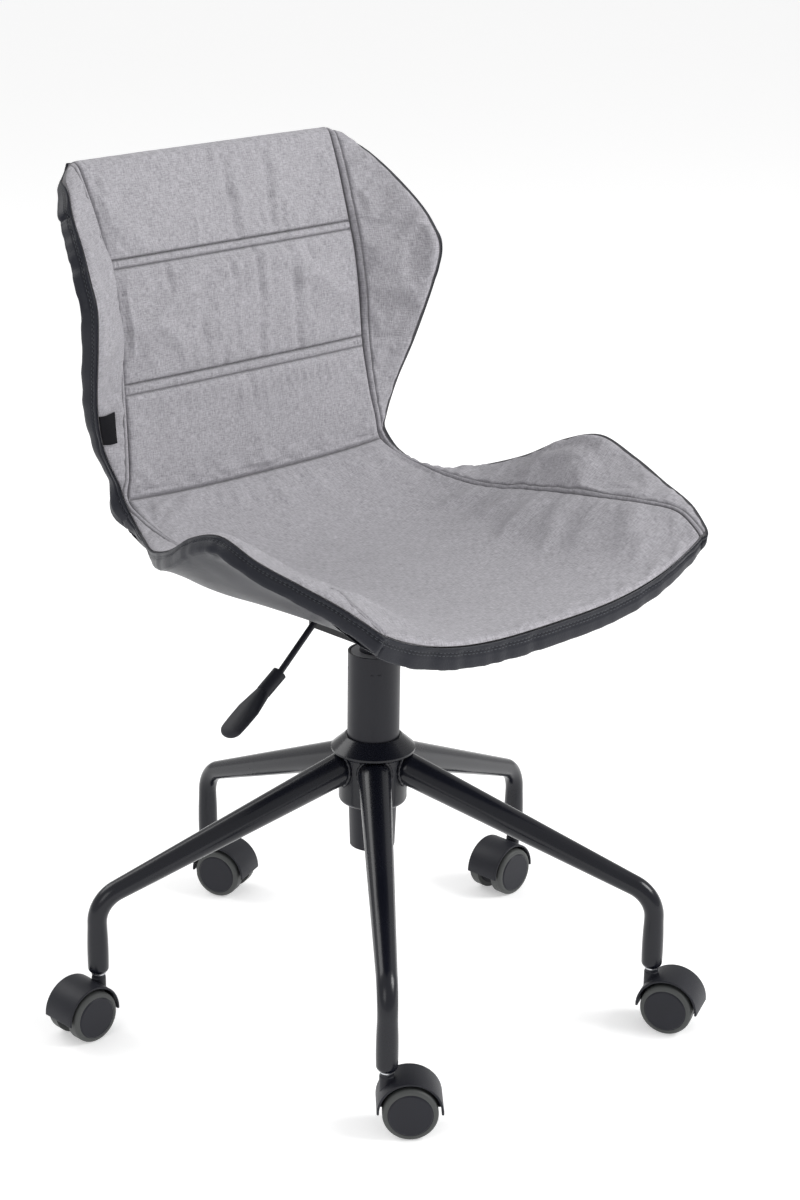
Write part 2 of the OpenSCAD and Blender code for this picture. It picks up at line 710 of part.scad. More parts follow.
module tyre(k, side) {
    round_r = 3.6;
    low = wheel_in + 1.5;
    high = wheel_out - 0.8;
    color("#6d6e68") on_axle(k, side) rotate_extrude($fn = 72) difference() {
        union() {
            translate([cap_r, low]) square([wheel_r - cap_r, high - low - round_r]);
            translate([cap_r, low]) square([wheel_r - cap_r - round_r, high - low]);
            translate([wheel_r - round_r, high - round_r]) circle(r = round_r);
        }
        translate([0, 0]) square([cap_r, wheel_out + 1]);
    }
}

hub();
hub_collar();
for (k = [0 : legs - 1]) {
    leg(k);
    hood(k);
    axle(k);
    wheel(k, 1);
    wheel(k, -1);
    tyre(k, 1);
    tyre(k, -1);
}
caster_sockets();
caster_stems();
caster_grip_rings();
stand_tube();
guide_bush();
thrust_bearing();
base_clip();
piston_rod();
piston();
gas_cylinder();
release_button();
mounting_plate();
taper_socket();
pivot_bracket();
plate_screws();
insert_nuts();
seat_shell();
seat_pad();
rear_cover();
label_tag();
lever_rod();
lever_grip();
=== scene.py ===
# %% [markdown]
# # A swivel desk chair
# This lesson dresses a working frame: the seat, gas lift, star base and castors
# are already there as plain solids that move. Each cell below makes one visible
# piece or one finish, says what it is on the real chair, and hangs it on the
# body that it moves with. Lengths are metres, +Z is up, the floor is z = 0, and
# the sitter faces -Y.

# %% Load the frame
import json

import bpy
import numpy as np
from mathutils import Matrix, Vector


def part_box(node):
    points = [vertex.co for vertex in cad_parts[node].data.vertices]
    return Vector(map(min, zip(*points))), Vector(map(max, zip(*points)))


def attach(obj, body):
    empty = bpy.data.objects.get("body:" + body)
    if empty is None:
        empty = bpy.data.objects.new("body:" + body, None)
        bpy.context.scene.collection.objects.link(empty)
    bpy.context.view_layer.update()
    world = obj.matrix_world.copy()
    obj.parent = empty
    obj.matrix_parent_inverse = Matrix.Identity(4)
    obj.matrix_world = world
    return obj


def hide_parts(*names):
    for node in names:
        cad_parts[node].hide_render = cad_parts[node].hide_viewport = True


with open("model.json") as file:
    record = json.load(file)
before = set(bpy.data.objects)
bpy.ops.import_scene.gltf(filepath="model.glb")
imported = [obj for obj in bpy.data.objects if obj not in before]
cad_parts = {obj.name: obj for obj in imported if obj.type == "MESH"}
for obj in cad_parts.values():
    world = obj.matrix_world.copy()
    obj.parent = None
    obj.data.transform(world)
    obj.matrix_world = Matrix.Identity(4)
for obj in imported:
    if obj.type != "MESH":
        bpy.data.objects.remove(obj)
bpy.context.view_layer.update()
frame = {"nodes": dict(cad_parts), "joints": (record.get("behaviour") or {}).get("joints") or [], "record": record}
nodes = frame["nodes"]
joints = {joint["name"]: joint for joint in frame["joints"]}
MM = 0.001
plate_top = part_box("mounting_plate")[1].z
print("pieces in the frame:", len(nodes), "mounting plate top:", round(plate_top, 4))

# %% [markdown]
# ## Camera and light
# A product shot of furniture uses a long lens from a little above the seat, a
# seamless pale floor, and soft light from large sources, so that dark leather
# and gloss paint get long, quiet highlights instead of small hard ones.

# %% Camera
scene = bpy.context.scene


def look(position, heading, pitch, lens):
    """A camera at position, turned heading degrees from +Y towards +X, and pitch degrees down."""
    data = bpy.data.cameras.new("camera")
    data.lens = lens
    data.sensor_width = 36
    camera = bpy.data.objects.new("camera", data)
    scene.collection.objects.link(camera)
    turn, dip = np.radians(heading), np.radians(pitch)
    forward = Vector((np.sin(turn) * np.cos(dip), np.cos(turn) * np.cos(dip), -np.sin(dip)))
    camera.matrix_world = Matrix.Translation(position) @ forward.to_track_quat("-Z", "Y").to_matrix().to_4x4()
    return camera


camera = look((-1.5496, -1.6133, 1.1775), 41.95, 19.355, 75.6)
camera.data.clip_end = 300
camera.data.shift_x = 0.0867
camera.data.shift_y = 0.0068
scene.camera = camera


# %% Studio
def soft_light(name, position, target, size, power, colour=(1, 1, 1)):
    """A square softbox at position, aimed at target."""
    data = bpy.data.lights.new(name, "AREA")
    data.energy = power
    data.size = size
    data.color = colour
    light = bpy.data.objects.new(name, data)
    scene.collection.objects.link(light)
    aim = (Vector(target) - Vector(position)).to_track_quat("-Z", "Y")
    light.matrix_world = Matrix.Translation(position) @ aim.to_matrix().to_4x4()


soft_light("key", (1.9, -2.2, 2.4), (0, 0, 0.5), 1.5, 70)
soft_light("window", (-2.6, -0.6, 1.6), (0, 0, 0.4), 1.2, 9)
soft_light("back", (-0.8, 2.2, 2.2), (0, 0, 0.5), 1.6, 22)
scene.view_settings.view_transform = "Standard"

world = bpy.data.worlds.new("studio")
world.use_nodes = True
world.node_tree.nodes["Background"].inputs["Color"].default_value = (1, 1, 1, 1)
world.node_tree.nodes["Background"].inputs["Strength"].default_value = 0.62
scene.world = world


# %% [markdown]
# ## Helpers for surfaces
# Every new piece is a surface worked out with numpy: a table of points in rows
# and columns, joined by four-sided faces. Three shapes cover the whole chair: a
# free grid, a profile turned round an axis, and a circle carried along a path.

# %% Grids, lathes and tubes
def unit(vectors):
    """Vectors scaled to length 1."""
    return vectors / np.maximum(np.linalg.norm(vectors, axis=-1, keepdims=True), 1e-12)


def grid_faces(rows, cols, first=0, wrap_rows=False, wrap_cols=False, flip=False):
    """Four-sided faces of a grid of points stored row by row, which may close on itself either way."""
    r = np.arange(rows if wrap_rows else rows - 1)[:, None]
    c = np.arange(cols if wrap_cols else cols - 1)[None, :]
    r2, c2 = (r + 1) % rows, (c + 1) % cols
    corners = [r * cols + c, r * cols + c2, r2 * cols + c2, r2 * cols + c]
    faces = np.stack([np.broadcast_to(k, (r.size, c.size)) for k in corners], -1).reshape(-1, 4)
    return (faces[:, ::-1] if flip else faces) + first


def piece(name, points, faces, body, slot, material, uv=None, values=None):
    """A smooth mesh object that rides on a body and takes the finish it is given; slot is not used.

    uv gives each point its place in the piece's own UV map, and values its named attributes.
    """
    points = np.asarray(points, float).reshape(-1, 3)
    mesh = bpy.data.meshes.new(name)
    mesh.from_pydata(points.tolist(), [], [list(map(int, f)) for f in faces])
    mesh.polygons.foreach_set("use_smooth", np.ones(len(mesh.polygons), bool))
    if uv is not None:
        corner = np.zeros(len(mesh.loops), int)
        mesh.loops.foreach_get("vertex_index", corner)
        layer = mesh.uv_layers.new(name="Weave")
        layer.data.foreach_set("uv", np.asarray(uv, float)[corner].ravel())
    for key, numbers in (values or {}).items():
        mesh.attributes.new(key, "FLOAT", "POINT").data.foreach_set("value", np.asarray(numbers, np.float32))
    mesh.materials.append(material)
    mesh.update()
    obj = bpy.data.objects.new(name, mesh)
    scene.collection.objects.link(obj)
    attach(obj, body)
    print(f"{name}: {len(points)} points, {len(mesh.polygons)} faces")
    return obj


def lathe(profile, steps=64):
    """Points and faces of a closed (radius, height) profile turned round the z axis; a radius of 0 is a pole."""
    profile = np.asarray(profile, float)
    angle = np.linspace(0, 2 * np.pi, steps, endpoint=False)
    r, z = profile[:, 0][None, :], profile[:, 1][None, :]
    points = np.stack([r * np.cos(angle)[:, None], r * np.sin(angle)[:, None], z + 0 * angle[:, None]], -1)
    return points.reshape(-1, 3), grid_faces(steps, len(profile), wrap_rows=True, wrap_cols=True)


def rounded(corners, radius, steps=5):
    """A closed outline with each corner turned into a short curve: points of a quadratic curve through the corner."""
    corners = np.asarray(corners, float)
    before, after = np.roll(corners, 1, 0), np.roll(corners, -1, 0)
    reach_in = np.minimum(radius, 0.45 * np.linalg.norm(before - corners, axis=1))[:, None]
    reach_out = np.minimum(radius, 0.45 * np.linalg.norm(after - corners, axis=1))[:, None]
    start, end = corners + unit(before - corners) * reach_in, corners + unit(after - corners) * reach_out
    t = np.linspace(0, 1, steps)[None, :, None]
    curve = (1 - t) ** 2 * start[:, None] + 2 * t * (1 - t) * corners[:, None] + t**2 * end[:, None]
    return curve.reshape(-1, corners.shape[1])


def tube(path, radii, sides=20, closed=False):
    """A circle carried along a path, its radius given at each point, with rings square to the path."""
    path = np.asarray(path, float)
    radii = np.broadcast_to(np.asarray(radii, float), len(path))
    if closed:
        along = unit(np.roll(path, -1, 0) - np.roll(path, 1, 0))
    else:
        along = unit(np.gradient(path, axis=0))
    side = np.zeros_like(along)
    seed = np.cross(along[0], [0.3, 0.9, 0.1])
    for i, direction in enumerate(along):
        seed = seed - direction * (seed @ direction)
        seed = seed / np.linalg.norm(seed)
        side[i] = seed
    other = np.cross(along, side)
    angle = np.linspace(0, 2 * np.pi, sides, endpoint=False)
    ring = side[:, None] * np.cos(angle)[None, :, None] + other[:, None] * np.sin(angle)[None, :, None]
    points = path[:, None] + radii[:, None, None] * ring
    return points.reshape(-1, 3), grid_faces(len(path), sides, wrap_rows=closed, wrap_cols=True)


def joined(*parts):
    """Several (points, faces) shapes as one."""
    points, faces, first = [], [], 0
    for p, f in parts:
        points.append(np.asarray(p, float).reshape(-1, 3))
        faces += [[int(i) + first for i in face] for face in f]
        first += len(points[-1])
    return np.concatenate(points), faces


def outward(obj):
    """Turns every face of a piece outwards, once its doubles are merged."""
    import bmesh

    work = bmesh.new()
    work.from_mesh(obj.data)
    bmesh.ops.remove_doubles(work, verts=work.verts, dist=2e-6)
    bmesh.ops.dissolve_degenerate(work, dist=1e-7, edges=work.edges)
    bmesh.ops.recalc_face_normals(work, faces=work.faces)
    work.to_mesh(obj.data)
    work.free()
    obj.data.update()
    return obj


# %% [markdown]
# ## Helpers for finishes
# A finish is a small graph of shader nodes. Written out node by node it is hard
# to read, so a Wire stands for one socket and carries the arithmetic: adding two
# wires adds a Math node. Everything else goes through `Finish.add`.

# %% Wires and finishes
class Wire:
    """One output socket of a finish; arithmetic on it adds Math nodes."""

    def __init__(self, finish, socket):
        self.finish, self.socket = finish, socket

    def math(self, operation, *values, clamp=False):
        settings = {"operation": operation, "use_clamp": clamp}
        return self.finish.add("ShaderNodeMath", settings, dict(enumerate(values)))

    def __add__(self, other):
        return self.math("ADD", self, other)

    def __sub__(self, other):
        return self.math("SUBTRACT", self, other)

    def __rsub__(self, other):
        return self.math("SUBTRACT", other, self)

    def __mul__(self, other):
        return self.math("MULTIPLY", self, other)

    def sine(self):
        return self.math("SINE", self)

    def fade(self, low, high):
        """0 below low, 1 above high, and smooth between them."""
        settings = {"interpolation_type": "SMOOTHSTEP"}
        return self.finish.add("ShaderNodeMapRange", settings, {"Value": self, "From Min": low, "From Max": high})

    __radd__, __rmul__ = __add__, __mul__


class Finish:
    """A material with one Principled surface, whose constants are set by name."""

    def __init__(self, name, colour, roughness, **constants):
        self.material = bpy.data.materials.new(name)
        self.material.use_nodes = True
        self.tree = self.material.node_tree
        self.surface = self.tree.nodes["Principled BSDF"]
        self.material.diffuse_color = (*colour, 1)
        self.constant("Base Color", (*colour, 1))
        self.constant("Roughness", roughness)
        for key, value in constants.items():
            self.constant(key.replace("_", " "), value)

    def constant(self, socket, value):
        self.surface.inputs[socket].default_value = value

    def add(self, kind, settings=None, inputs=None, output=0):
        """A node of any kind: its settings first, then the values or wires of its sockets."""
        node = self.tree.nodes.new(kind)
        for key, value in (settings or {}).items():
            setattr(node, key, value)
        for key, value in (inputs or {}).items():
            if isinstance(value, Wire):
                self.tree.links.new(value.socket, node.inputs[key])
            else:
                node.inputs[key].default_value = value
        return Wire(self, node.outputs[output])

    def place(self, scale=(1, 1, 1), uv=None):
        """Object coordinates, or a piece's own UV map, stretched by scale."""
        if uv:
            where = self.add("ShaderNodeUVMap", {"uv_map": uv})
        else:
            where = self.add("ShaderNodeTexCoord", output="Object")
        return self.add("ShaderNodeMapping", {"vector_type": "POINT"}, {"Vector": where, "Scale": scale})

    def noise(self, where, scale, detail=3.0, roughness=0.55):
        inputs = {"Vector": where, "Scale": scale, "Detail": detail, "Roughness": roughness}
        return self.add("ShaderNodeTexNoise", {}, inputs)

    def blend(self, share, colour_a, colour_b):
        """A colour that goes from colour_a to colour_b as share goes from 0 to 1."""
        node = self.tree.nodes.new("ShaderNodeMix")
        node.data_type = "RGBA"
        for socket, value in ((0, share), (6, colour_a), (7, colour_b)):
            if isinstance(value, Wire):
                self.tree.links.new(value.socket, node.inputs[socket])
            else:
                node.inputs[socket].default_value = value if socket == 0 else (*value, 1)
        return Wire(self, node.outputs[2])

    def drive(self, socket, wire):
        self.tree.links.new(wire.socket, self.surface.inputs[socket])

    def bump(self, height, strength, distance):
        inputs = {"Height": height, "Strength": strength, "Distance": distance}
        self.drive("Normal", self.add("ShaderNodeBump", {}, inputs))


# %% [markdown]
# ## Finishes
# The chair has few materials, and each has its own small-scale structure: the
# cloth is a plain weave of mixed grey yarns, the rear cover a coated cloth with
# a pebbled grain, the tubes a gloss powder coat with a faint orange peel, and
# the plastics a spark-eroded satin texture.

# %% Cloth
# Yarn pitch, and how far the two shades of yarn lie apart
YARN = 0.001
CLOTH = (0.395, 0.385, 0.412)


def heather_cloth(name, colour):
    """Plain weave: slubs stretched along each yarn direction shade it, and crossed waves lift it.

    The attribute for the seams is 1 at the bottom of a sewn valley and on the turned-down border, where it darkens the
    colour as painted shade.
    """
    f = Finish(name, colour, 0.86, Sheen_Weight=0.15, Sheen_Roughness=0.5, Specular_IOR_Level=0.25)
    warp = f.noise(f.place((1 / YARN, 1 / YARN / 7, 1), uv="Weave"), 1.0, 2.0, 0.7)
    weft = f.noise(f.place((1 / YARN / 7, 1 / YARN, 1), uv="Weave"), 1.0, 2.0, 0.7)
    cloud = f.noise(f.place((40, 40, 1), uv="Weave"), 1.0, 2.0)
    slub = warp.fade(0.3, 0.7) * 0.5 + weft.fade(0.3, 0.7) * 0.5
    shade = slub * 0.9 + cloud.fade(0.2, 0.8) * 0.1
    dark = tuple(0.6 * c for c in colour)
    light = tuple(min(1.0, 1.36 * c) for c in colour)
    plain = f.blend(shade, dark, light)
    # painted shade: the colour falls to 0.3 of itself in the sewn valleys and in the border's joint, where shade falls
    seam = f.add("ShaderNodeAttribute", {"attribute_name": "Seam"}, output=2)
    f.drive("Base Color", f.blend(seam, plain, tuple(0.3 * c for c in colour)))
    f.drive("Roughness", shade * -0.1 + 0.92)
    split = f.add("ShaderNodeSeparateXYZ", {}, {0: f.place((2 * np.pi / YARN, 2 * np.pi / YARN, 1), uv="Weave")})
    across = Wire(f, split.socket.node.outputs[0]).sine()
    along = Wire(f, split.socket.node.outputs[1]).sine()
    f.bump(across * along * 0.4 + slub * 1.4, 0.6, 0.0004)
    return f.material


cloth = heather_cloth("heather_cloth", CLOTH)
thread = Finish("stitch_thread", (0.2, 0.195, 0.21), 0.7, Sheen_Weight=0.1)
fibre = thread.noise(thread.place(), 900.0, 2.0)
thread.drive("Base Color", thread.blend(fibre, (0.14, 0.137, 0.15), (0.27, 0.265, 0.28)))


# %% Leather
def coated_leather(name):
    """Pebbled grain: small cells with soft walls, over slow changes of gloss where the hide is stretched."""
    f = Finish(name, (0.009, 0.01, 0.0165), 0.44, Specular_IOR_Level=0.24, Coat_Roughness=0.35)
    cells = f.add("ShaderNodeTexVoronoi", {"feature": "SMOOTH_F1"}, {"Vector": f.place(), "Scale": 900.0})
    slow = f.noise(f.place(), 14.0, 3.0)
    fine = f.noise(f.place(), 260.0, 3.0)
    f.drive("Base Color", f.blend(slow, (0.007, 0.0078, 0.0135), (0.0115, 0.0128, 0.02)))
    f.drive("Roughness", slow.fade(0.3, 0.7) * 0.12 + fine * 0.08 + 0.34)
    f.drive("Coat Weight", slow.fade(0.35, 0.65) * 0.08)
    f.bump(cells * -1.0 + fine * 0.5, 0.32, 0.0006)
    return f.material


leather = coated_leather("coated_leather")
dark_thread = Finish("dark_thread", (0.07, 0.075, 0.09), 0.5)
dark_fibre = dark_thread.noise(dark_thread.place(), 900.0, 2.0)
dark_thread.drive("Base Color", dark_thread.blend(dark_fibre, (0.05, 0.055, 0.068), (0.1, 0.108, 0.125)))


# %% Painted and plated metal
def powder_coat(name, colour, roughness, peel, coat=0.0):
    """Enamel: a faint orange peel bends its highlights, and dust dulls it in slow patches."""
    f = Finish(name, colour, roughness, Specular_IOR_Level=0.3, Coat_Roughness=0.12)
    slow = f.noise(f.place(), 9.0, 2.0)
    skin = f.noise(f.place(), 420.0, 2.0)
    f.drive("Base Color", f.blend(slow, tuple(0.85 * c for c in colour), tuple(1.25 * c for c in colour)))
    f.drive("Roughness", slow.fade(0.3, 0.7) * 0.08 + skin * 0.05 + (roughness - 0.06))
    if coat:
        f.drive("Coat Weight", slow * 0.1 + coat)
    f.bump(skin, peel, 0.0005)
    return f.material


gloss_black = powder_coat("gloss_black", (0.0048, 0.0054, 0.0095), 0.24, 0.04, 0.12)
satin_black = powder_coat("satin_black", (0.0105, 0.0108, 0.0158), 0.38, 0.08)
bracket_black = powder_coat("bracket_black", (0.012, 0.012, 0.014), 0.48, 0.2)


def plated(name, colour, roughness):
    """Zinc or chrome on turned steel: fine rings of tool marks and a slight cloud in the plate."""
    f = Finish(name, colour, roughness, Metallic=1.0)
    cloud = f.noise(f.place(), 60.0, 3.0)
    rings = f.noise(f.place((200, 200, 2600)), 1.0, 2.0)
    f.drive("Base Color", f.blend(cloud, tuple(0.8 * c for c in colour), colour))
    f.drive("Roughness", cloud * 0.15 + rings * 0.1 + (roughness - 0.1))
    f.bump(rings, 0.1, 0.0002)
    return f.material


zinc = plated("zinc_plate", (0.62, 0.63, 0.66), 0.3)
chrome = plated("polished_rod", (0.75, 0.76, 0.78), 0.16)


# %% Plastics, rubber, plywood
def moulded(name, colour, roughness, grain, size=1500.0, **constants):
    """Satin moulding: a fine spark-eroded texture, a little uneven in gloss."""
    f = Finish(name, colour, roughness, **constants)
    sparks = f.noise(f.place(), size, 2.0, 0.7)
    slow = f.noise(f.place(), 45.0, 3.0)
    f.drive("Base Color", f.blend(slow, tuple(0.82 * c for c in colour), tuple(1.2 * c for c in colour)))
    f.drive("Roughness", slow * 0.12 + sparks * 0.08 + (roughness - 0.1))
    f.bump(sparks, grain, 0.0003)
    return f.material


hood_plastic = moulded("hood_plastic", (0.0125, 0.0132, 0.0185), 0.46, 0.3, Specular_IOR_Level=0.3)
wheel_plastic = moulded("wheel_plastic", (0.0115, 0.012, 0.0175), 0.4, 0.2, Specular_IOR_Level=0.28)
bush_plastic = moulded("bush_plastic", (0.3, 0.3, 0.32), 0.45, 0.15)
tyre_rubber = moulded("tyre_rubber", (0.058, 0.061, 0.06), 0.5, 0.3, 900.0, Specular_IOR_Level=0.35)


def pressed_ply(name):
    """Beech veneer: stretched figure along the grain."""
    f = Finish(name, (0.5, 0.34, 0.19), 0.6)
    figure = f.noise(f.place((18, 160, 18)), 1.0, 4.0)
    f.drive("Base Color", f.blend(figure, (0.42, 0.27, 0.14), (0.6, 0.42, 0.25)))
    f.drive("Roughness", figure * 0.2 + 0.5)
    f.bump(figure, 0.2, 0.0004)
    return f.material


plywood = pressed_ply("pressed_ply")


# %% [markdown]
# Pieces that stay as the frame made them only need their finish.

# %% Finishes of the frame's own pieces
FINISH_OF_SLOT = {
    "base_gloss_black": gloss_black,
    "column_satin_black": satin_black,
    "bracket_black": bracket_black,
    "lever_black": satin_black,
    "bush_grey_plastic": bush_plastic,
    "zinc_plated_steel": zinc,
    "polished_rod": chrome,
    "black_plastic": hood_plastic,
    "wheel_plastic": wheel_plastic,
    "tyre_grey": tyre_rubber,
    "plywood": plywood,
    "seat_fabric": cloth,
    "rear_leather": leather,
    "label_weave": hood_plastic,
}
for entry in frame["record"]["subparts"]:
    materials = nodes[entry["node"]].data.materials
    materials.clear()
    materials.append(FINISH_OF_SLOT[entry["material_slot"]])


# %% [markdown]
# ## The seat's surface
# The seat and back are one bent sheet with four wings. Twenty stations run from
# the top of the back, round the crease, to the front edge. Each gives the
# middle, the seam where a wing leaves the panel, and the wing's edge. A smooth
# curve through the stations and a rounded dish between the seams give a point
# for any u (across, -1 to 1) and v (along, 0 at the top to 1 at the front).

# %% Stations and the face
# heights are above the mounting plate, and all in millimetres
STATIONS = [
    [[237, 394], [156, 233, 395], [171, 231, 391]],
    [[219, 356], [153, 215, 356], [193, 193, 357]],
    [[205, 328], [151, 204, 328], [204, 163, 329]],
    [[194, 303], [150, 195, 303], [211, 143, 304]],
    [[187, 278], [150, 188, 278], [213, 131, 278]],
    [[180, 241], [150, 181, 241], [209, 137, 241]],
    [[174, 186], [151, 175, 186], [200, 153, 183]],
    [[168, 141], [154, 168, 141], [188, 163, 141]],
    [[162, 108], [158, 162, 109], [175, 163, 109]],
    [[157, 84], [162, 159, 89], [169, 158, 92]],
    [[136, 68], [165, 137, 78], [177, 135, 73]],
    [[106, 54], [168, 108, 72], [188, 109, 65]],
    [[70, 42], [170, 74, 67], [206, 73, 71]],
    [[30, 36], [173, 26, 66], [225, 26, 88]],
    [[-20, 34], [176, -20, 73], [236, -18, 112]],
    [[-65, 33], [179, -66, 79], [239, -62, 124]],
    [[-110, 32], [182, -111, 84], [238, -108, 112]],
    [[-155, 33], [190, -155, 87], [229, -152, 100]],
    [[-195, 34], [202, -192, 84], [220, -195, 88]],
    [[-226, 34], [198, -226, 68], [206, -229, 70]],
]
MIDDLE = np.array([[0, *row[0]] for row in STATIONS], float)
SEAM = np.array([row[1] for row in STATIONS], float)
EDGE = np.array([row[2] for row in STATIONS], float)
SPANS = len(STATIONS) - 1
PANEL = 0.72  # share of the half width that the panel takes
DISH = 3.0


def spline(rows, s):
    """A smooth curve through the rows: a cubic between neighbours whose slopes look one row ahead and behind."""
    i = np.clip(np.floor(s).astype(int), 0, SPANS - 1)
    t = (s - i)[..., None]
    a, b = rows[np.maximum(i - 1, 0)], rows[i]
    c, d = rows[i + 1], rows[np.minimum(i + 2, SPANS)]
    return b + 0.5 * t * (c - a + t * (2 * a - 5 * b + 4 * c - d + t * (3 * (b - c) + d - a)))


def face(u, v):
    """The upholstered side: the dish rises as the cube of the way to the seam, and the wing runs straight on."""
    u, v = np.broadcast_arrays(np.asarray(u, float), np.asarray(v, float))
    s, a = v * SPANS, np.abs(u)
    mid, seam, edge = spline(MIDDLE, s), spline(SEAM, s), spline(EDGE, s)
    inner = np.minimum(a / PANEL, 1)[..., None]
    outer = (np.maximum(a - PANEL, 0) / (1 - PANEL))[..., None]
    share = np.concatenate([inner, inner**DISH, inner**DISH], -1)
    p = mid + (seam - mid) * share + (edge - seam) * outer
    p[..., 0] *= np.sign(u)
    p[..., 2] += plate_top / MM
    return p * MM


def smooth(t):
    """0 to 1 with no kink at either end."""
    t = np.clip(t, 0, 1)
    return t * t * (3 - 2 * t)


def normal(u, v):
    """The direction out of the face, from the slopes across and along."""
    across = face(np.minimum(u + 0.03, 1), v) - face(np.maximum(u - 0.03, -1), v)
    along = face(u, np.minimum(v + 0.012, 1)) - face(u, np.maximum(v - 0.012, 0))
    return unit(np.cross(along, across))


def depth(u, v):
    """Thickness under the face: 30 mm in the middle, 20 mm at the edges, a little less at the front."""
    side = 1 - smooth((np.abs(u) - 0.6) / 0.4)
    return (20 + 10 * side * smooth(v / 0.1) * (1 - 0.3 * smooth((v - 0.9) / 0.1))) * MM


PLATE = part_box("mounting_plate")


def inside(u, v, d):
    """A point at share d of the way from the face to the underside, which is flat over the mounting plate."""
    p = face(u, v)
    q = p - normal(u, v) * depth(u, v)[..., None]
    flat = 1.0
    for axis in (0, 1):
        flat = flat * (1 - smooth((np.abs(q[..., axis]) - PLATE[1][axis] - 0.002) / 0.04))
    flat = np.where(q[..., 2] < plate_top + 0.025, flat, 0)
    q[..., 2] += (plate_top - q[..., 2]) * flat
    return p + (q - p) * np.asarray(d, float)


def soften(u, v, reach_u=0.28, reach_v=0.03):
    """Rounds the four corners of the (u, v) square: each corner cell is mapped to a quarter of a disc."""
    a, b = np.abs(u), np.abs(2 * v - 1)
    c = np.maximum(a - (1 - reach_u), 0) / reach_u
    d = np.maximum(b - (1 - 2 * reach_v), 0) / (2 * reach_v)
    a2 = np.where(a > 1 - reach_u, 1 - reach_u + reach_u * c * np.sqrt(1 - d * d / 2), a)
    b2 = np.where(b > 1 - 2 * reach_v, 1 - 2 * reach_v + 2 * reach_v * d * np.sqrt(1 - c * c / 2), b)
    return np.sign(u) * a2, 0.5 + 0.5 * np.sign(v - 0.5) * b2


face_sample = face(np.linspace(-1, 1, 9)[:, None], np.linspace(0, 1, 9)[None])
print("seat face spans", np.ptp(face_sample, axis=(0, 1)).round(3))

# %% [markdown]
# ## Where the seams lie
# The cover is sewn from a centre panel and a wing on either side. The panel has
# two quilted channels across the back, each a pair of stitched rows, and a seam
# in the crease. Every seam pulls the cloth down to the board and the foam swells
# between them, so the relief of the pad is a function of the distance to each.

# %% Distances on the face
fine_v = np.linspace(0, 1, 2001)
mid_line = spline(MIDDLE, fine_v * SPANS) * MM
mid_arc = np.concatenate([[0], np.cumsum(np.linalg.norm(np.diff(mid_line, axis=0), axis=1))])
ALONG = mid_arc[-1]


def at_height(z):
    """The v at which the middle of the back is z metres above the floor."""
    back = slice(0, 1000)
    return np.interp(-z, -(mid_line[back, 2] + plate_top), fine_v[back])


def arc(v):
    """Distance along the middle line from the top, in metres."""
    return np.interp(v, fine_v, mid_arc)


def wing_width(v):
    """Distance from the seam to the edge, in metres."""
    s = np.asarray(v, float) * SPANS
    return np.linalg.norm(spline(EDGE, s) - spline(SEAM, s), axis=-1) * MM


def seam_distance(u, v):
    """Signed distance from the wing seam, in metres: negative on the panel, positive on the wing."""
    s = np.asarray(v, float) * SPANS
    rise = (spline(SEAM, s) - spline(MIDDLE, s)) * np.array([1, DISH, DISH]) / PANEL
    away = np.abs(u) - PANEL
    return np.where(away < 0, away * np.linalg.norm(rise, axis=-1) * MM, away / (1 - PANEL) * wing_width(v))


BAND = 0.001  # how far inside the edge the cloth's flat part ends
END = BAND / ALONG * 0.9  # the same at the top and the front, as a share of v


def pad_limit(v):
    """The |u| at which the cloth turns down over the edge."""
    return 1 - (1 - PANEL) * np.minimum(BAND / wing_width(v), 0.6)


def joint(v):
    """How far down the edge, as a share of its depth, cloth meets cover: low at the top, near the face elsewhere."""
    return 0.2 + 0.66 * (1 - smooth((v - 0.004) / 0.03))


CHANNELS = [(0.7135, 0.7055), (0.5995, 0.5895)]
CREASE = 0.4925
channel_v = [[float(at_height(z)) for z in pair] for pair in CHANNELS]
crease_v = float(at_height(CREASE))
print("channels at v", np.round(channel_v, 3), "crease at v", round(crease_v, 3), "length", round(float(ALONG), 3))

# %% [markdown]
# ## Gathers
# Where two layers of cloth are sewn to a curved board, the spare length bunches
# into folds that run out of the channels. The large ones are placed one by one,
# as on the real chair, and the small puckers beside each row of stitches are
# drawn from a seeded generator, so that they are the same on every run.

# %% Folds and puckers
# one fold: x and height of its upper end, then of its lower end (m), half width and depth (mm)
FOLDS = [
    (0.014, 0.789, 0.006, 0.752, 4.0, 1.0),
    (0.010, 0.760, 0.003, 0.714, 3.6, 1.5),
    (0.064, 0.786, 0.056, 0.745, 4.2, 1.2),
    (0.057, 0.750, 0.048, 0.714, 3.6, 1.1),
    (0.068, 0.745, 0.063, 0.714, 2.8, 0.9),
    (0.078, 0.735, 0.075, 0.714, 2.5, 0.5),
    (0.018, 0.706, 0.021, 0.660, 3.2, 1.4),
    (0.021, 0.665, 0.012, 0.600, 4.0, 0.8),
    (0.058, 0.706, 0.066, 0.655, 4.2, 1.1),
    (0.065, 0.665, 0.062, 0.600, 4.0, 1.0),
    (0.083, 0.704, 0.093, 0.684, 3.0, 0.8),
    (-0.090, 0.702, -0.089, 0.677, 2.4, 1.1),
    (-0.018, 0.700, -0.016, 0.680, 3.0, 0.7),
    (-0.057, 0.645, -0.053, 0.602, 3.4, 0.9),
    (-0.036, 0.622, -0.033, 0.600, 3.2, 0.5),
    (-0.006, 0.588, 0.001, 0.556, 3.2, 0.6),
    (0.040, 0.588, 0.044, 0.565, 3.0, 0.4),
    (-0.120, 0.786, -0.112, 0.752, 5.0, 0.4),
    (-0.075, 0.788, -0.070, 0.760, 5.0, 0.4),
]


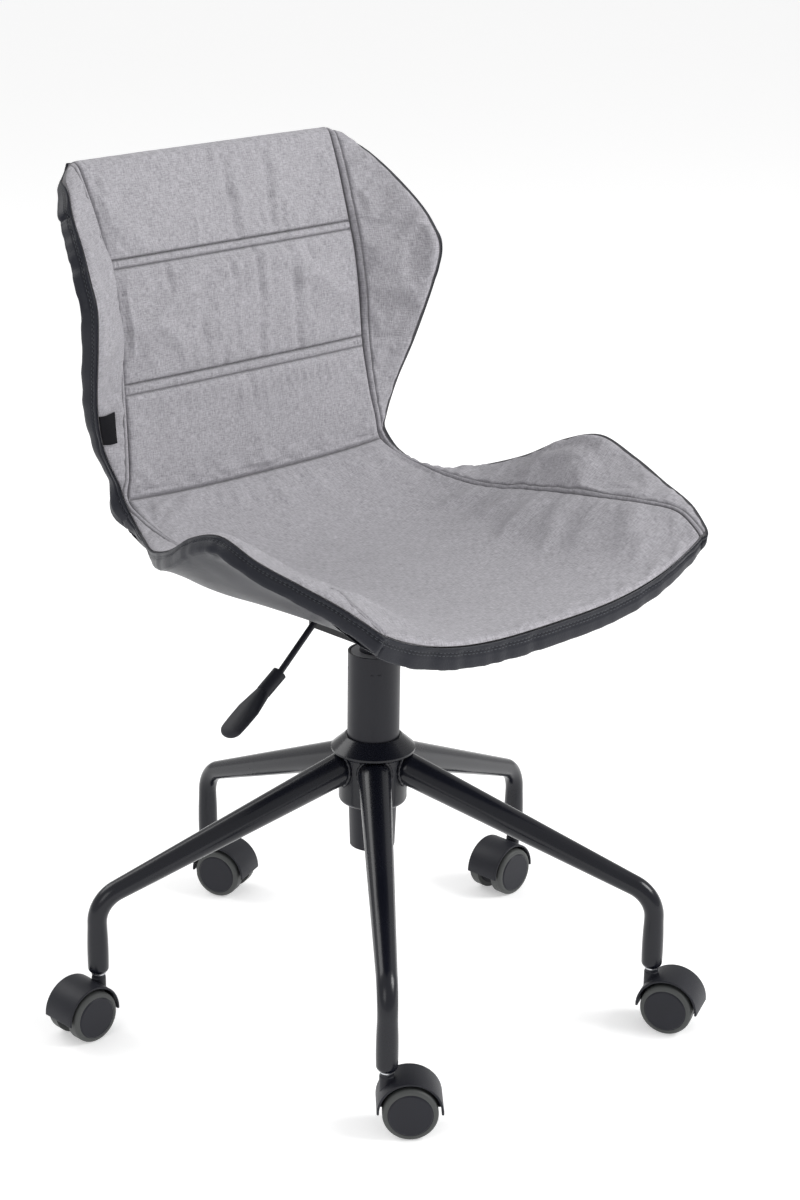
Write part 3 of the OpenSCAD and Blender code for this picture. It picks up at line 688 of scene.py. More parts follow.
def folds(x, z):
    """A valley along each fold with a ridge on its right, tapering to nothing at both ends."""
    lift = np.zeros(np.broadcast(x, z).shape)
    for x0, z0, x1, z1, wide, deep in FOLDS:
        length = np.hypot(x1 - x0, z1 - z0)
        tx, tz = (x1 - x0) / length, (z1 - z0) / length
        along = ((x - x0) * tx + (z - z0) * tz) / length
        off = ((x - x0) * -tz + (z - z0) * tx) / (1.25 * wide * MM)
        ends = smooth((along + 0.12) / 0.25) * smooth((1.12 - along) / 0.25)
        valley = np.exp(-(off**2)) - 0.55 * np.exp(-((off - 1.9) ** 2) / 1.4) - 0.3 * np.exp(-((off + 2.1) ** 2) / 1.6)
        lift -= 2.1 * deep * MM * ends * valley
    return lift


rng = np.random.default_rng(11)


def pucker_row(count, spread, wide, deep):
    """Random bumps along x: their places, half widths and heights, as three arrays."""
    places = rng.uniform(-spread, spread, count)
    widths = rng.uniform(0.6, 1.5, count) * wide
    return places, widths, rng.uniform(-1, 1, count) * deep


def puckers(x, rows):
    """The sum of a row's bumps at x, each a Gaussian."""
    place, wide, deep = rows
    lift = np.zeros(np.shape(x))
    for x0, w, d in zip(place, wide, deep):
        lift += d * np.exp(-(((x - x0) / w) ** 2))
    return lift


channel_puckers = [[pucker_row(46, 0.15, 0.0022, 0.00075) for _ in range(2)] for _ in CHANNELS]
crease_puckers = pucker_row(26, 0.16, 0.004, 0.0006)
top_puckers = pucker_row(22, 0.16, 0.004, 0.0005)
# slack creases across the seat: y (m), half width (m), depth (mm)
seat_creases = [
    (-0.035, 0.0045, 0.5), (-0.088, 0.005, 0.4), (-0.135, 0.004, 0.45), (0.02, 0.005, 0.4), (0.06, 0.004, 0.4),
]


# %% Relief of the cloth
def groove(distance, wide, deep):
    """A sewn valley: a Gaussian of the distance."""
    return -deep * MM * np.exp(-((distance / (wide * MM)) ** 2))


def relief(u, v):
    """Height of the cloth over the smooth face, in metres, and 0 to 1 for how deep in a seam it lies, which paints
    shade into the cloth's colour there.

    Foam swells as 1 - exp(-distance / 11 mm) from every seam at once. Each seam adds a groove,
    each channel adds cross ribs between its rows and puckers that die away from it, and the
    placed folds and the seat's slack creases come on top.
    """
    u, v = np.broadcast_arrays(np.asarray(u, float), np.asarray(v, float))
    side = seam_distance(u, v)
    panel = side < 0
    along = arc(v)
    edge = (pad_limit(v) - np.abs(u)) / (1 - PANEL) * wing_width(v)
    top, front = along - END * ALONG, (1 - END) * ALONG - along
    p = face(u, v)
    x, z = p[..., 0], p[..., 2]

    def swell(distance, reach=11.0):
        return 1 - np.exp(-np.maximum(distance, 0) / (reach * MM))

    puff = swell(np.abs(side)) * swell(top, 6) * swell(front, 6) * np.where(panel, 1, 0.8 * swell(edge, 6))
    lift = np.zeros(u.shape)
    # painted shade: 0 to 1 for how deep in a sewn valley a point lies, which darkens the cloth's colour
    seam = np.zeros(u.shape)
    on_panel = smooth((-side - 0.5 * MM) / (1.5 * MM))
    for (v0, v1), rows in zip(channel_v, channel_puckers):
        s0, s1 = float(arc(v0)), float(arc(v1))
        outside = np.maximum(np.maximum(s0 - along, along - s1), 0)
        between = 0.3 * np.sin(np.pi * (along - s0) / (s1 - s0))
        channel = np.where((along > s0) & (along < s1), between, swell(outside))
        puff = puff * np.where(panel, channel, 1)
        rows_of_stitches = groove(along - s0, 1.2, 2.4) + groove(along - s1, 1.1, 1.9)
        lift += on_panel * rows_of_stitches
        seam = np.maximum(seam, on_panel * (groove(along - s0, 0.9, -1) + groove(along - s1, 0.8, -0.75)) / MM)
        near_middle = np.exp(-(((along - (s0 + s1) / 2) / 0.003) ** 2))
        ribs = 0.6 * MM * np.sin(x / 0.0046 * 2 * np.pi + 40 * (along - s0)) * near_middle
        above = puckers(x, rows[0]) * np.exp(-np.maximum(s0 - along, 0) / 0.009) * smooth((s0 - along) / 0.002)
        below = puckers(x, rows[1]) * np.exp(-np.maximum(along - s1, 0) / 0.009) * smooth((along - s1) / 0.002)
        lift += on_panel * (ribs + above + below)
    crease = along - float(arc(crease_v))
    puff = puff * np.where(panel, swell(np.abs(crease), 8), 1)
    lift += on_panel * (groove(crease, 1.5, 2.6) + puckers(x, crease_puckers) * np.exp(-np.abs(crease) / 0.012))
    seam = np.maximum(seam, on_panel * groove(crease, 0.9, -0.8) / MM)
    lift += on_panel * puckers(x, top_puckers) * np.exp(-np.maximum(top, 0) / 0.02)
    back = v < crease_v
    stitch_line = np.where(back, 6, 5) * MM
    lift += groove(side, 1.4, 2.8) + groove(side - stitch_line, 1.1, 1.6)
    seam = np.maximum(seam, (groove(side, 0.9, -1) + groove(side - stitch_line, 0.8, -0.8)) / MM)
    lift += folds(x, z) * on_panel * smooth((0.49 - v) / 0.05)
    for y0, wide, deep in seat_creases:
        wave = p[..., 1] - y0 + 0.012 * np.sin(x / 0.07 + 40 * y0) + 0.004 * np.sin(x / 0.021 + 90 * y0)
        lift += groove(wave / wide * MM, 1, deep) * on_panel * ~back * smooth((0.15 - np.abs(x)) / 0.05)
    brim = np.minimum(np.minimum(edge, front), np.maximum(top, 0))
    rounding = 2.6 * MM * np.maximum(1 - brim / 0.0065, 0) ** 2 + 2.0 * MM * np.maximum(1 - top / 0.012, 0) ** 2
    crown = 1.6 * MM * smooth(np.maximum(-side, 0) / 0.09)
    lift += 5.2 * MM * puff - 3.2 * MM + crown - rounding
    return lift, np.clip(seam, 0, 1)


# %% [markdown]
# ## Slack in the cloth
# A pad that is only a formula looks machined. A short cloth simulation on a
# coarse copy gives it the uneven fullness of real upholstery: the seams are
# pinned, a little pressure stands for the foam, and the cloth may grow by 3 %.
# The result is kept as offsets, capped at 4 mm, and added to the fine surface.

# %% Simulated offsets
SLACK_COLS, SLACK_ROWS = 81, 145


def cover_uv(a, b):
    """From the even square (a across -1 to 1, b along 0 to 1) to (u, v) inside the leather band."""
    a, b = soften(a, b, 0.16, 0.02)
    v = END + b * (1 - 2 * END)
    return a * pad_limit(v), v


def slack_offsets():
    """Offsets along the face's normal from a pinned, swollen and slightly enlarged sheet."""
    a, b = np.meshgrid(np.linspace(-1, 1, SLACK_COLS), np.linspace(0, 1, SLACK_ROWS))
    u, v = cover_uv(a, b)
    start, out = face(u, v), normal(u, v)
    mesh = bpy.data.meshes.new("slack")
    mesh.from_pydata(start.reshape(-1, 3).tolist(), [], grid_faces(SLACK_ROWS, SLACK_COLS).tolist())
    obj = bpy.data.objects.new("slack", mesh)
    scene.collection.objects.link(obj)
    near = 0.006
    held = (np.abs(a) > 0.985) | (b < 0.01) | (b > 0.99) | (np.abs(seam_distance(u, v)) < near)
    for line in [*channel_v[0], *channel_v[1], crease_v]:
        held |= (np.abs(arc(v) - arc(line)) < near) & (np.abs(u) < PANEL)
    pins = obj.vertex_groups.new(name="pins")
    pins.add([int(i) for i in np.flatnonzero(held)], 1.0, "REPLACE")
    cloth_modifier = obj.modifiers.new("Cloth", "CLOTH")
    settings = cloth_modifier.settings
    settings.vertex_group_mass = "pins"
    settings.use_pressure = True
    settings.uniform_pressure_force = 3.0
    settings.effector_weights.gravity = 0
    settings.quality = 6
    settings.mass = 0.2
    settings.tension_stiffness = settings.compression_stiffness = 20
    settings.shear_stiffness = 8
    settings.bending_stiffness = 0.4
    settings.shrink_min = -0.03
    cloth_modifier.point_cache.frame_end = 20
    for frame_number in range(1, 21):
        scene.frame_set(frame_number)
    shaped = obj.evaluated_get(bpy.context.evaluated_depsgraph_get())
    moved = np.zeros(len(mesh.vertices) * 3)
    shaped.data.vertices.foreach_get("co", moved)
    offsets = np.einsum("ijk,ijk->ij", moved.reshape(start.shape) - start, out)
    bpy.data.objects.remove(obj)
    scene.frame_set(1)
    return np.clip(np.nan_to_num(offsets), -0.004, 0.004)


slack = slack_offsets()
print("slack offsets (mm): lowest", round(slack.min() * 1000, 2), "highest", round(slack.max() * 1000, 2))


def slack_at(a, b):
    """The simulated offsets between their grid points, for columns a and rows b of a finer grid."""
    rows = np.array([np.interp(a, np.linspace(-1, 1, SLACK_COLS), row) for row in slack])
    return np.array([np.interp(b, np.linspace(0, 1, SLACK_ROWS), column) for column in rows.T]).T


# %% [markdown]
# ## The cloth pad
# The grid is finest where the stitching is: its rows and columns are spread by a
# density that peaks at each seam. Round the border the cloth turns down into the
# joint with the leather, and a plain sheet closes it underneath.

# %% Pad grid
def spread(count, centres, reach, gain):
    """Points from 0 to 1 whose density is 1, plus gain near each centre within reach."""
    t = np.linspace(0, 1, 4001)
    density = 1 + sum(gain * np.exp(-(((t - c) / reach) ** 2)) for c in centres)
    total = np.concatenate([[0], np.cumsum((density[1:] + density[:-1]) / 2)])
    return np.interp(np.linspace(0, total[-1], count), total, t)


def sewn_bottom(rows, cols, step, first_ring, below):
    """Faces of a coarse sheet whose border takes in every point of the fine ring round it.

    Coarse points stand at every step-th row and column; below gives the index of each coarse
    inner point, and first_ring the index of the fine ring's first point.
    """
    ring = {}
    count = first_ring
    walk = [(0, c) for c in range(cols - 1)] + [(r, cols - 1) for r in range(rows - 1)]
    walk += [(rows - 1, c) for c in range(cols - 1, 0, -1)] + [(r, 0) for r in range(rows - 1, 0, -1)]
    for spot in walk:
        ring[spot] = count
        count += 1
    faces = []
    for r in range(0, rows - 1, step):
        for c in range(0, cols - 1, step):
            around = [(r, c + k) for k in range(step)] + [(r + k, c + step) for k in range(step)]
            around += [(r + step, c + step - k) for k in range(step)] + [(r + step - k, c) for k in range(step)]
            corner = {(r, c), (r, c + step), (r + step, c), (r + step, c + step)}
            faces.append([ring.get(s, below.get(s)) for s in around if s in ring or s in corner])
    return faces


def border_ring(rows, cols):
    """Flat indices of a grid's border, in the order that sewn_bottom walks it."""
    top, right = np.arange(cols - 1), np.arange(rows - 1) * cols + cols - 1
    bottom = (rows - 1) * cols + np.arange(cols - 1, 0, -1)
    left = np.arange(rows - 1, 0, -1) * cols
    return np.concatenate([top, right, bottom, left])


STEP = 8
COLS, ROWS = 33 * STEP + 1, 54 * STEP + 1
column = spread(COLS, [0.14, 0.86], 0.022, 2.6) * 2 - 1
lines = [(line - END) / (1 - 2 * END) for line in [*channel_v[0], *channel_v[1], crease_v]]
row = spread(ROWS, [*lines, 0, 1], 0.008, 2.4)
a, b = np.meshgrid(column, row)
u, v = cover_uv(a, b)
out = normal(u, v)
# relief also gives the painted shade of the sewn valleys
height, sewn = relief(u, v)
top_points = face(u, v) + out * (height + slack_at(column, row))[..., None]
ring = border_ring(ROWS, COLS)
ring_u, ring_v = u.ravel()[ring], v.ravel()[ring]


def turned_in(share, inset):
    """The border's points at a share of the shell's depth, drawn in by inset of the half width."""
    return inside(ring_u * (1 - inset), END + (ring_v - END) * (1 - 2 * inset) + inset * (1 - 2 * END), share)


fall = joint(ring_v)[:, None]
skirt = [turned_in(0.16 + (fall - 0.19) * 0.5, 0.0), turned_in(fall - 0.03, 0.0), turned_in(fall, 0.006)]
inner = [(r, c) for r in range(STEP, ROWS - 1, STEP) for c in range(STEP, COLS - 1, STEP)]
inner_r, inner_c = np.array(inner).T
low_points = inside(u[inner_r, inner_c], v[inner_r, inner_c], 0.45)
n_top, n_ring = ROWS * COLS, len(ring)
first_low = n_top + 3 * n_ring
below = {spot: first_low + k for k, spot in enumerate(inner)}
pad_faces = grid_faces(ROWS, COLS).tolist()
levels = [ring, *(n_top + k * n_ring + np.arange(n_ring) for k in range(3))]
for upper, lower in zip(levels, levels[1:]):
    pad_faces += np.stack([upper, lower, np.roll(lower, -1), np.roll(upper, -1)], -1).tolist()
pad_faces += [face_[::-1] for face_ in sewn_bottom(ROWS, COLS, STEP, n_top + 2 * n_ring, below)]
pad_points = np.concatenate([top_points.reshape(-1, 3), *skirt, low_points])
weave_v = arc(v)
weave_u = np.cumsum(np.linalg.norm(np.diff(face(u, v), axis=1, prepend=face(u, v)[:, :1]), axis=-1), axis=1)
weave_u -= weave_u[:, COLS // 2 : COLS // 2 + 1]
weave = np.stack([weave_u, weave_v], -1).reshape(-1, 2)
weave = np.concatenate([weave, *[weave[ring]] * 3, np.stack([weave_u, weave_v], -1)[inner_r, inner_c]])
# painted shade: full on the three rings of the turned-down border, in the joint with the leather, and none on the
# sheet underneath
sewn = np.concatenate([sewn.ravel(), *[np.ones(n_ring)] * 3, np.zeros(len(inner))])
pad = outward(piece("cloth_pad", pad_points, pad_faces, "seat", "seat_fabric", cloth, weave, {"Seam": sewn}))
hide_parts("seat_pad")

# %% [markdown]
# ## The rear cover
# Coated cloth covers the plywood from behind and wraps round its edge, where it
# meets the seat cloth in a narrow joint. It is a tray: a sheet behind, a rim
# whose profile is rounded where the board's edge is, and a floor inside. The
# profile is worked out once for every point of the border, as one array.

# %% Rear cover
SKIN_COLS, SKIN_ROWS = 17 * STEP + 1, 27 * STEP + 1
SIDE_SEAMS = (0.055, 0.5)
skin_a = np.linspace(-1, 1, SKIN_COLS)
skin_b = spread(SKIN_ROWS, [*SIDE_SEAMS], 0.006, 3.0)
a, b = np.meshgrid(skin_a, skin_b)
edge_u, edge_v = soften(a, b, 0.16, 0.02)
reach_in = 0.016 * (1 - PANEL) / np.maximum(wing_width(edge_v), 0.024)
u, v = edge_u * (1 - reach_in), 0.5 + (edge_v - 0.5) * (1 - 0.032 / ALONG)
skin_ring = border_ring(SKIN_ROWS, SKIN_COLS)
brink = [w.ravel()[skin_ring] for w in (edge_u, edge_v)]


def skin_relief(u, v):
    """The back of the cover: a sewn valley at each cross seam, with a row of stitching on either side."""
    lift = np.zeros(np.shape(u))
    for line in SIDE_SEAMS:
        off = arc(v) - arc(line)
        lift += groove(off, 1.1, 1.3) + groove(off - 0.004, 0.8, 0.5) + groove(off + 0.004, 0.8, 0.5)
    return lift * (1 - (np.hypot(face(u, v)[..., 0], face(u, v)[..., 1]) < 0.12))


def corner(before, at, after, radius, steps):
    """A quadratic curve that rounds the corner between two straight runs, for a whole loop at once."""
    reach_in = np.minimum(radius, 0.45 * np.linalg.norm(before - at, axis=-1))[:, None]
    reach_out = np.minimum(radius, 0.45 * np.linalg.norm(after - at, axis=-1))[:, None]
    start, end = at + unit(before - at) * reach_in, at + unit(after - at) * reach_out
    return [(1 - t) ** 2 * start + 2 * t * (1 - t) * at + t * t * end for t in np.linspace(0, 1, steps)]


LIP = 0.0022  # thickness of the cover where it is turned in


def drawn_in(u, v, inset):
    """The border's (u, v), moved towards the middle by a distance in metres."""
    at_end = np.abs(v - 0.5) > 0.49
    narrower = u * (1 - inset * (1 - PANEL) / np.maximum(wing_width(v), 0.02))
    return narrower, v + np.sign(0.5 - v) * inset / ALONG * (at_end * 1.0)


lip = joint(brink[1])[:, None] + 0.02
depths = [
    inside(*drawn_in(*brink, 0.007), np.maximum(lip, 0.9)),
    inside(*drawn_in(*brink, LIP), lip),
    inside(*brink, lip),
    inside(*brink, 1.0),
    inside(*drawn_in(*brink, 0.012), 1.0),
]
profile = [depths[0], (depths[0] + depths[1]) / 2]
profile += corner(depths[0], depths[1], depths[2], 0.0007, 3)
profile += corner(depths[1], depths[2], depths[3], 0.0012, 5)
wall_top = profile[-1]
fold_back = corner(depths[2], depths[3], depths[4], 0.0075, 8)
wall_low = fold_back[0]
profile += [wall_top + (wall_low - wall_top) * t for t in (0.1, 0.2, 0.3, 0.4, 0.5, 0.65, 0.8)] + fold_back
profile = np.array(profile)
turn_out = unit(np.cross(np.roll(profile, -1, 1) - np.roll(profile, 1, 1), np.gradient(profile, axis=0)))
if np.einsum("ij,ij->i", turn_out[10], profile[10] - depths[4]).mean() < 0:
    turn_out = -turn_out
STITCHED = 12  # the profile point that the stitching runs along
along_rim = np.concatenate([[0], np.cumsum(np.linalg.norm(np.diff(profile[STITCHED], axis=0), axis=1))])
rim_waves = sum(
    h * np.sin(2 * np.pi * along_rim / w + p)
    for h, w, p in zip(rng.uniform(0.06, 0.2, 12), rng.uniform(0.007, 0.05, 12), rng.uniform(0, 6.28, 12))
)
for line in SIDE_SEAMS:
    rim_waves = rim_waves + groove(arc(brink[1]) - arc(line), 1.1, 1.2) / MM
swellings = np.zeros(len(profile))
swellings[8:22] = 0.8
swellings[[STITCHED, STITCHED + 2]] = -0.5
waves = np.zeros(len(profile))
waves[10:24] = 1
profile += turn_out * ((swellings * MM)[:, None] + waves[:, None] * rim_waves[None] * MM)[..., None]

sheet_points = inside(u, v, 1.0) - normal(u, v) * skin_relief(u, v)[..., None]
n_sheet, n_skin_ring = SKIN_ROWS * SKIN_COLS, len(skin_ring)
inner = [(r, c) for r in range(STEP, SKIN_ROWS - 1, STEP) for c in range(STEP, SKIN_COLS - 1, STEP)]
inner_r, inner_c = np.array(inner).T
floor_points = inside(u[inner_r, inner_c], v[inner_r, inner_c], 0.9)
first_profile = n_sheet
first_floor = n_sheet + len(profile) * n_skin_ring
below = {spot: first_floor + k for k, spot in enumerate(inner)}
cover_faces = [f[::-1] for f in grid_faces(SKIN_ROWS, SKIN_COLS).tolist()]
cover_faces += grid_faces(len(profile), n_skin_ring, first_profile, wrap_cols=True).tolist()
last_ring = first_profile + (len(profile) - 1) * n_skin_ring + np.arange(n_skin_ring)
cover_faces += np.stack([last_ring, skin_ring, np.roll(skin_ring, -1), np.roll(last_ring, -1)], -1).tolist()
cover_faces += sewn_bottom(SKIN_ROWS, SKIN_COLS, STEP, first_profile, below)
cover_points = np.concatenate([sheet_points.reshape(-1, 3), profile.reshape(-1, 3), floor_points])
cover = outward(piece("rear_cover_skin", cover_points, cover_faces, "seat", "rear_leather", leather))
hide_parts("rear_cover")


# %% [markdown]
# ## Stitches
# Topstitching is a row of short threads, each dipping into the cloth at its
# ends. One stitch is a tiny spindle of five rings; a row is that spindle copied
# to evenly spaced places along a path.

# %% Stitch rows
def stitches(name, rows, slot, material, pitch=0.0045, length=0.0033, radius=0.00038):
    """Spindles along each (path, up) row: rings of five points whose radius and height follow a half sine."""
    t = np.array([-1, -0.6, 0, 0.6, 1])
    thick, rise = np.array([0.35, 0.85, 1, 0.85, 0.35]), np.array([-0.5, 0.15, 0.45, 0.15, -0.5])
    angle = np.linspace(0, 2 * np.pi, 5, endpoint=False)
    ring_faces = grid_faces(5, 5, wrap_cols=True)
    caps = np.array([[4, 3, 2, 1, 0], [20, 21, 22, 23, 24]])
    points, faces, count = [], [], 0
    for path, up in rows:
        run = np.concatenate([[0], np.cumsum(np.linalg.norm(np.diff(path, axis=0), axis=1))])
        places = np.arange(pitch / 2, run[-1], pitch)
        at = np.stack([np.interp(places, run, path[:, k]) for k in range(3)], -1)
        ahead = np.stack([np.interp(places + 0.001, run, path[:, k]) for k in range(3)], -1)
        behind = np.stack([np.interp(places - 0.001, run, path[:, k]) for k in range(3)], -1)
        normal_here = unit(np.stack([np.interp(places, run, up[:, k]) for k in range(3)], -1))
        tangent = unit(ahead - behind)
        side = unit(np.cross(normal_here, tangent))
        spine = at[:, None] + tangent[:, None] * t[None, :, None] * length / 2
        spine = spine + normal_here[:, None] * (rise * radius)[None, :, None]
        ring_shape = np.cos(angle)[:, None, None] * side + np.sin(angle)[:, None, None] * normal_here
        rings = spine[:, :, None] + (thick * radius)[None, :, None, None] * ring_shape.transpose(1, 0, 2)[:, None]
        points.append(rings.reshape(-1, 3))
        shift = (count + np.arange(len(places)) * 25)[:, None, None]
        faces += (ring_faces[None] + shift).reshape(-1, 4).tolist() + (caps[None] + shift).reshape(-1, 5).tolist()
        count += 25 * len(places)
    return outward(piece(name, np.concatenate(points), faces, "seat", slot, material))


def on_cloth(u, v):
    """A stitch row's path and up direction at (u, v) on the cloth."""
    u, v = np.broadcast_arrays(np.asarray(u, float), np.asarray(v, float))
    keep = np.abs(u) < pad_limit(v) - 0.01
    out = normal(u, v)
    return (face(u, v) + out * relief(u, v)[0][..., None])[keep], out[keep]


run_v = np.linspace(END * 1.3, 1 - END * 1.3, 900)
offset = np.where(run_v < crease_v, 0.006, 0.005)
beside = PANEL + (1 - PANEL) * offset / wing_width(run_v)
run_u = np.linspace(-PANEL + 0.01, PANEL - 0.01, 300)
cloth_rows = [on_cloth(sign * beside, run_v) for sign in (-1, 1)]
cloth_rows += [on_cloth(run_u, line) for pair in channel_v for line in pair]
stitches("cloth_stitches", cloth_rows, "seat_fabric", thread.material)
rim_rows = [
    (np.append(profile[p], profile[p][:1], 0), np.append(turn_out[p], turn_out[p][:1], 0))
    for p in (STITCHED, STITCHED + 2)
]
stitches("cover_stitches", rim_rows, "rear_leather", dark_thread.material)


# %% [markdown]
# ## The label
# A small blank ribbon is folded into the edge of the back's wing. It is a thin
# cushion of cloth that follows the wing.

# %% Label
L_ROWS, L_COLS = 25, 13
label_u, label_v = np.meshgrid(np.linspace(-0.985, -0.875, L_COLS), np.linspace(0.328, 0.366, L_ROWS))
label_out = normal(label_u, label_v)
label_base = face(label_u, label_v) + label_out * relief(label_u, label_v)[0][..., None]
across = np.linspace(-1, 1, L_COLS)[None, :]
puffed = 0.0009 + 0.0005 * (1 - across**2) * (1 - np.linspace(-1, 1, L_ROWS)[:, None] ** 8)
label_top = label_base + label_out * puffed[..., None]
label_low = label_base - label_out * 0.0006
below_it = L_ROWS * L_COLS
label_ring = border_ring(L_ROWS, L_COLS)
next_ring = np.roll(label_ring, -1)
label_faces = grid_faces(L_ROWS, L_COLS).tolist() + grid_faces(L_ROWS, L_COLS, first=below_it, flip=True).tolist()
label_faces += np.stack([label_ring, label_ring + below_it, next_ring + below_it, next_ring], -1).tolist()
label_uv = np.stack([label_u * 0.2, label_v * 0.86], -1).reshape(-1, 2)
ribbon = Finish("label_ribbon", (0.008, 0.008, 0.01), 0.75, Specular_IOR_Level=0.15)
ribs = ribbon.add("ShaderNodeSeparateXYZ", {}, {0: ribbon.place((1, 2 * np.pi / 0.0006, 1), uv="Weave")})
ribbed = Wire(ribbon, ribs.socket.node.outputs[1]).sine()
ribbon.drive("Base Color", ribbon.blend(ribbed * 0.5 + 0.5, (0.004, 0.004, 0.006), (0.012, 0.012, 0.015)))
ribbon.bump(ribbed, 0.5, 0.0002)
label_points = np.concatenate([label_top.reshape(-1, 3), label_low.reshape(-1, 3)])
label_uv = np.tile(label_uv, (2, 1))
label = outward(piece("label_ribbon", label_points, label_faces, "seat", "label_weave", ribbon.material, label_uv))
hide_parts("label_tag")


# %% [markdown]
# ## The legs
# Each leg is one steel tube: it tapers away from the hub, bends down, is drawn a
# little thinner under the bend, and swells again where the castor's socket is
# pressed in, before its end is rolled over. A circle carried along the leg's
# centre line, with its radius given along the way, makes all of that at once.

# %% Leg centre line
HUB_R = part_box("hub")[1].x
stems = [Vector(joints[f"caster_{k}_swivel"]["pos_m"]) for k in range(1, 6)]
STEM_CIRCLE = float(np.mean([np.hypot(p.x, p.y) for p in stems]))
LEG_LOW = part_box("leg_1")[0].z
FALL = np.radians(22.6)
BEND_R, BEND_Z = 0.033, LEG_LOW + 0.0517
TIP = 0.005  # rounding of the tube's end
ROOT_R, END_R = 0.0158, 0.0097  # the tube's radius at the hub and from the bend on
SWELL = 0.0004


def leg_line():
    """Distance from the axis and height along the leg, with the radius there: straight, arc, then straight down."""
    turn = np.pi / 2 - FALL
    bend_x = STEM_CIRCLE - BEND_R
    slope_x, slope_z = bend_x + BEND_R * np.cos(turn), BEND_Z + BEND_R * np.sin(turn)
    start = HUB_R - 0.004
    t = np.linspace(0, 1, 40)
    straight = np.stack([start + (slope_x - start) * t, slope_z + (slope_x - start) * (1 - t) * np.tan(FALL)], -1)
    angle = np.linspace(turn, 0, 26)[1:]
    arc_part = np.stack([bend_x + BEND_R * np.cos(angle), BEND_Z + BEND_R * np.sin(angle)], -1)
    down = np.linspace(BEND_Z, LEG_LOW + TIP, 26)[1:]
    low = np.stack([np.full(25, STEM_CIRCLE), down], -1)
    tip_turn = np.linspace(0, np.pi / 2, 8)[1:]
    tip = np.stack([np.full(7, STEM_CIRCLE), LEG_LOW + TIP * (1 - np.sin(tip_turn))], -1)
    line = np.concatenate([straight, arc_part, low, tip])
    swell = SWELL * np.sin(np.pi * np.clip((BEND_Z - down) / (BEND_Z - LEG_LOW), 0, 1) ** 1.5)
    thin = SWELL * np.exp(-(((down - BEND_Z) / 0.012) ** 2))
    low_r = END_R + swell - thin
    tip_r = low_r[-1] - TIP * (1 - np.cos(tip_turn))
    bend_r = END_R - SWELL * smooth((turn - angle) / turn)
    return line, np.concatenate([ROOT_R + (END_R - ROOT_R) * t, bend_r, low_r, tip_r])


leg_path, leg_radius = leg_line()
print("leg runs from", leg_path[0].round(3), "to", leg_path[-1].round(3))


# %% Leg tubes
def closed_tube(path, radii, sides=40):
    """A tube whose first and last rings are closed by one flat face each."""
    points, faces = tube(path, radii, sides)
    count = len(path)
    ends = [list(range(sides))[::-1], list(range((count - 1) * sides, count * sides))]
    return points, [*faces.tolist(), *ends]


for k, stem in enumerate(stems, 1):
    heading = Vector((stem.x, stem.y, 0)).normalized()
    path = leg_path[:, :1] * np.array(heading)[None] + leg_path[:, 1:] * np.array([[0, 0, 1.0]])
    leg = outward(piece(f"leg_tube_{k}", *closed_tube(path, leg_radius), "base", "base_gloss_black", gloss_black))
    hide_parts(f"leg_{k}")

# %% [markdown]
# The legs are welded to the hub. The bead is a thin tube that follows the curve
# where the leg's round meets the hub's, with the small ripples of hand welding.

# %% Weld beads
def weld_line(radius):
    """The curve where a falling tube meets the hub: each ray along the tube's side is cut at the hub's radius."""
    angle = np.linspace(0, 2 * np.pi, 121)[:-1]
    along = np.array([np.cos(FALL), 0, -np.sin(FALL)])
    up, side = np.array([np.sin(FALL), 0, np.cos(FALL)]), np.array([0, 1.0, 0])
    ring_ = radius * (np.cos(angle)[:, None] * up + np.sin(angle)[:, None] * side)
    centre = np.array([leg_path[0, 0], 0, leg_path[0, 1]])
    base = centre + ring_
    reach_ = (np.sqrt(np.maximum((HUB_R + 0.0006) ** 2 - base[:, 1] ** 2, 0)) - base[:, 0]) / along[0]
    return base + reach_[:, None] * along


bead = weld_line(ROOT_R + 0.0001)
bead_r = 0.0016 + 0.00025 * np.sin(np.linspace(0, 2 * np.pi, 120, endpoint=False) * 19)
beads = []
for stem in stems:
    turn = np.arctan2(stem.y, stem.x)
    spin = np.array([[np.cos(turn), np.sin(turn), 0], [-np.sin(turn), np.cos(turn), 0], [0, 0, 1]])
    points, faces = tube(bead @ spin, bead_r, 12, closed=True)
    beads.append((points, faces.tolist()))
outward(piece("weld_beads", *joined(*beads), "base", "base_gloss_black", gloss_black))


# %% [markdown]
# ## The castor hoods
# The hood is a half drum over the two wheels, with softly rounded edges. Its
# wall is a closed outline carried part of the way round the axle; a round neck
# takes the stem, and a web between the wheels holds the axle.

# %% Hoods
def castor_parts(k):
    """The castor's stem and axle positions and the direction of its axle."""
    stem, wheel_joint = joints[f"caster_{k}_swivel"], joints[f"wheel_{k}_left_spin"]
    return np.array(stem["pos_m"]), np.array(wheel_joint["pos_m"]), unit(np.array(wheel_joint["axis"], float))


HOOD_OVER_TYRE = 0.0048  # from the tyre to the outside of the hood
HOOD_HALF, HOOD_WALL = 0.0191, 0.0022
HOOD_LIP = np.radians(1.9)  # how far the hood reaches below the axle's height, as an angle
BORE, NECK, NECK_STEP = 0.0043, 0.0068, 0.0005
WEB_HALF, BOSS = 0.0062, 0.008


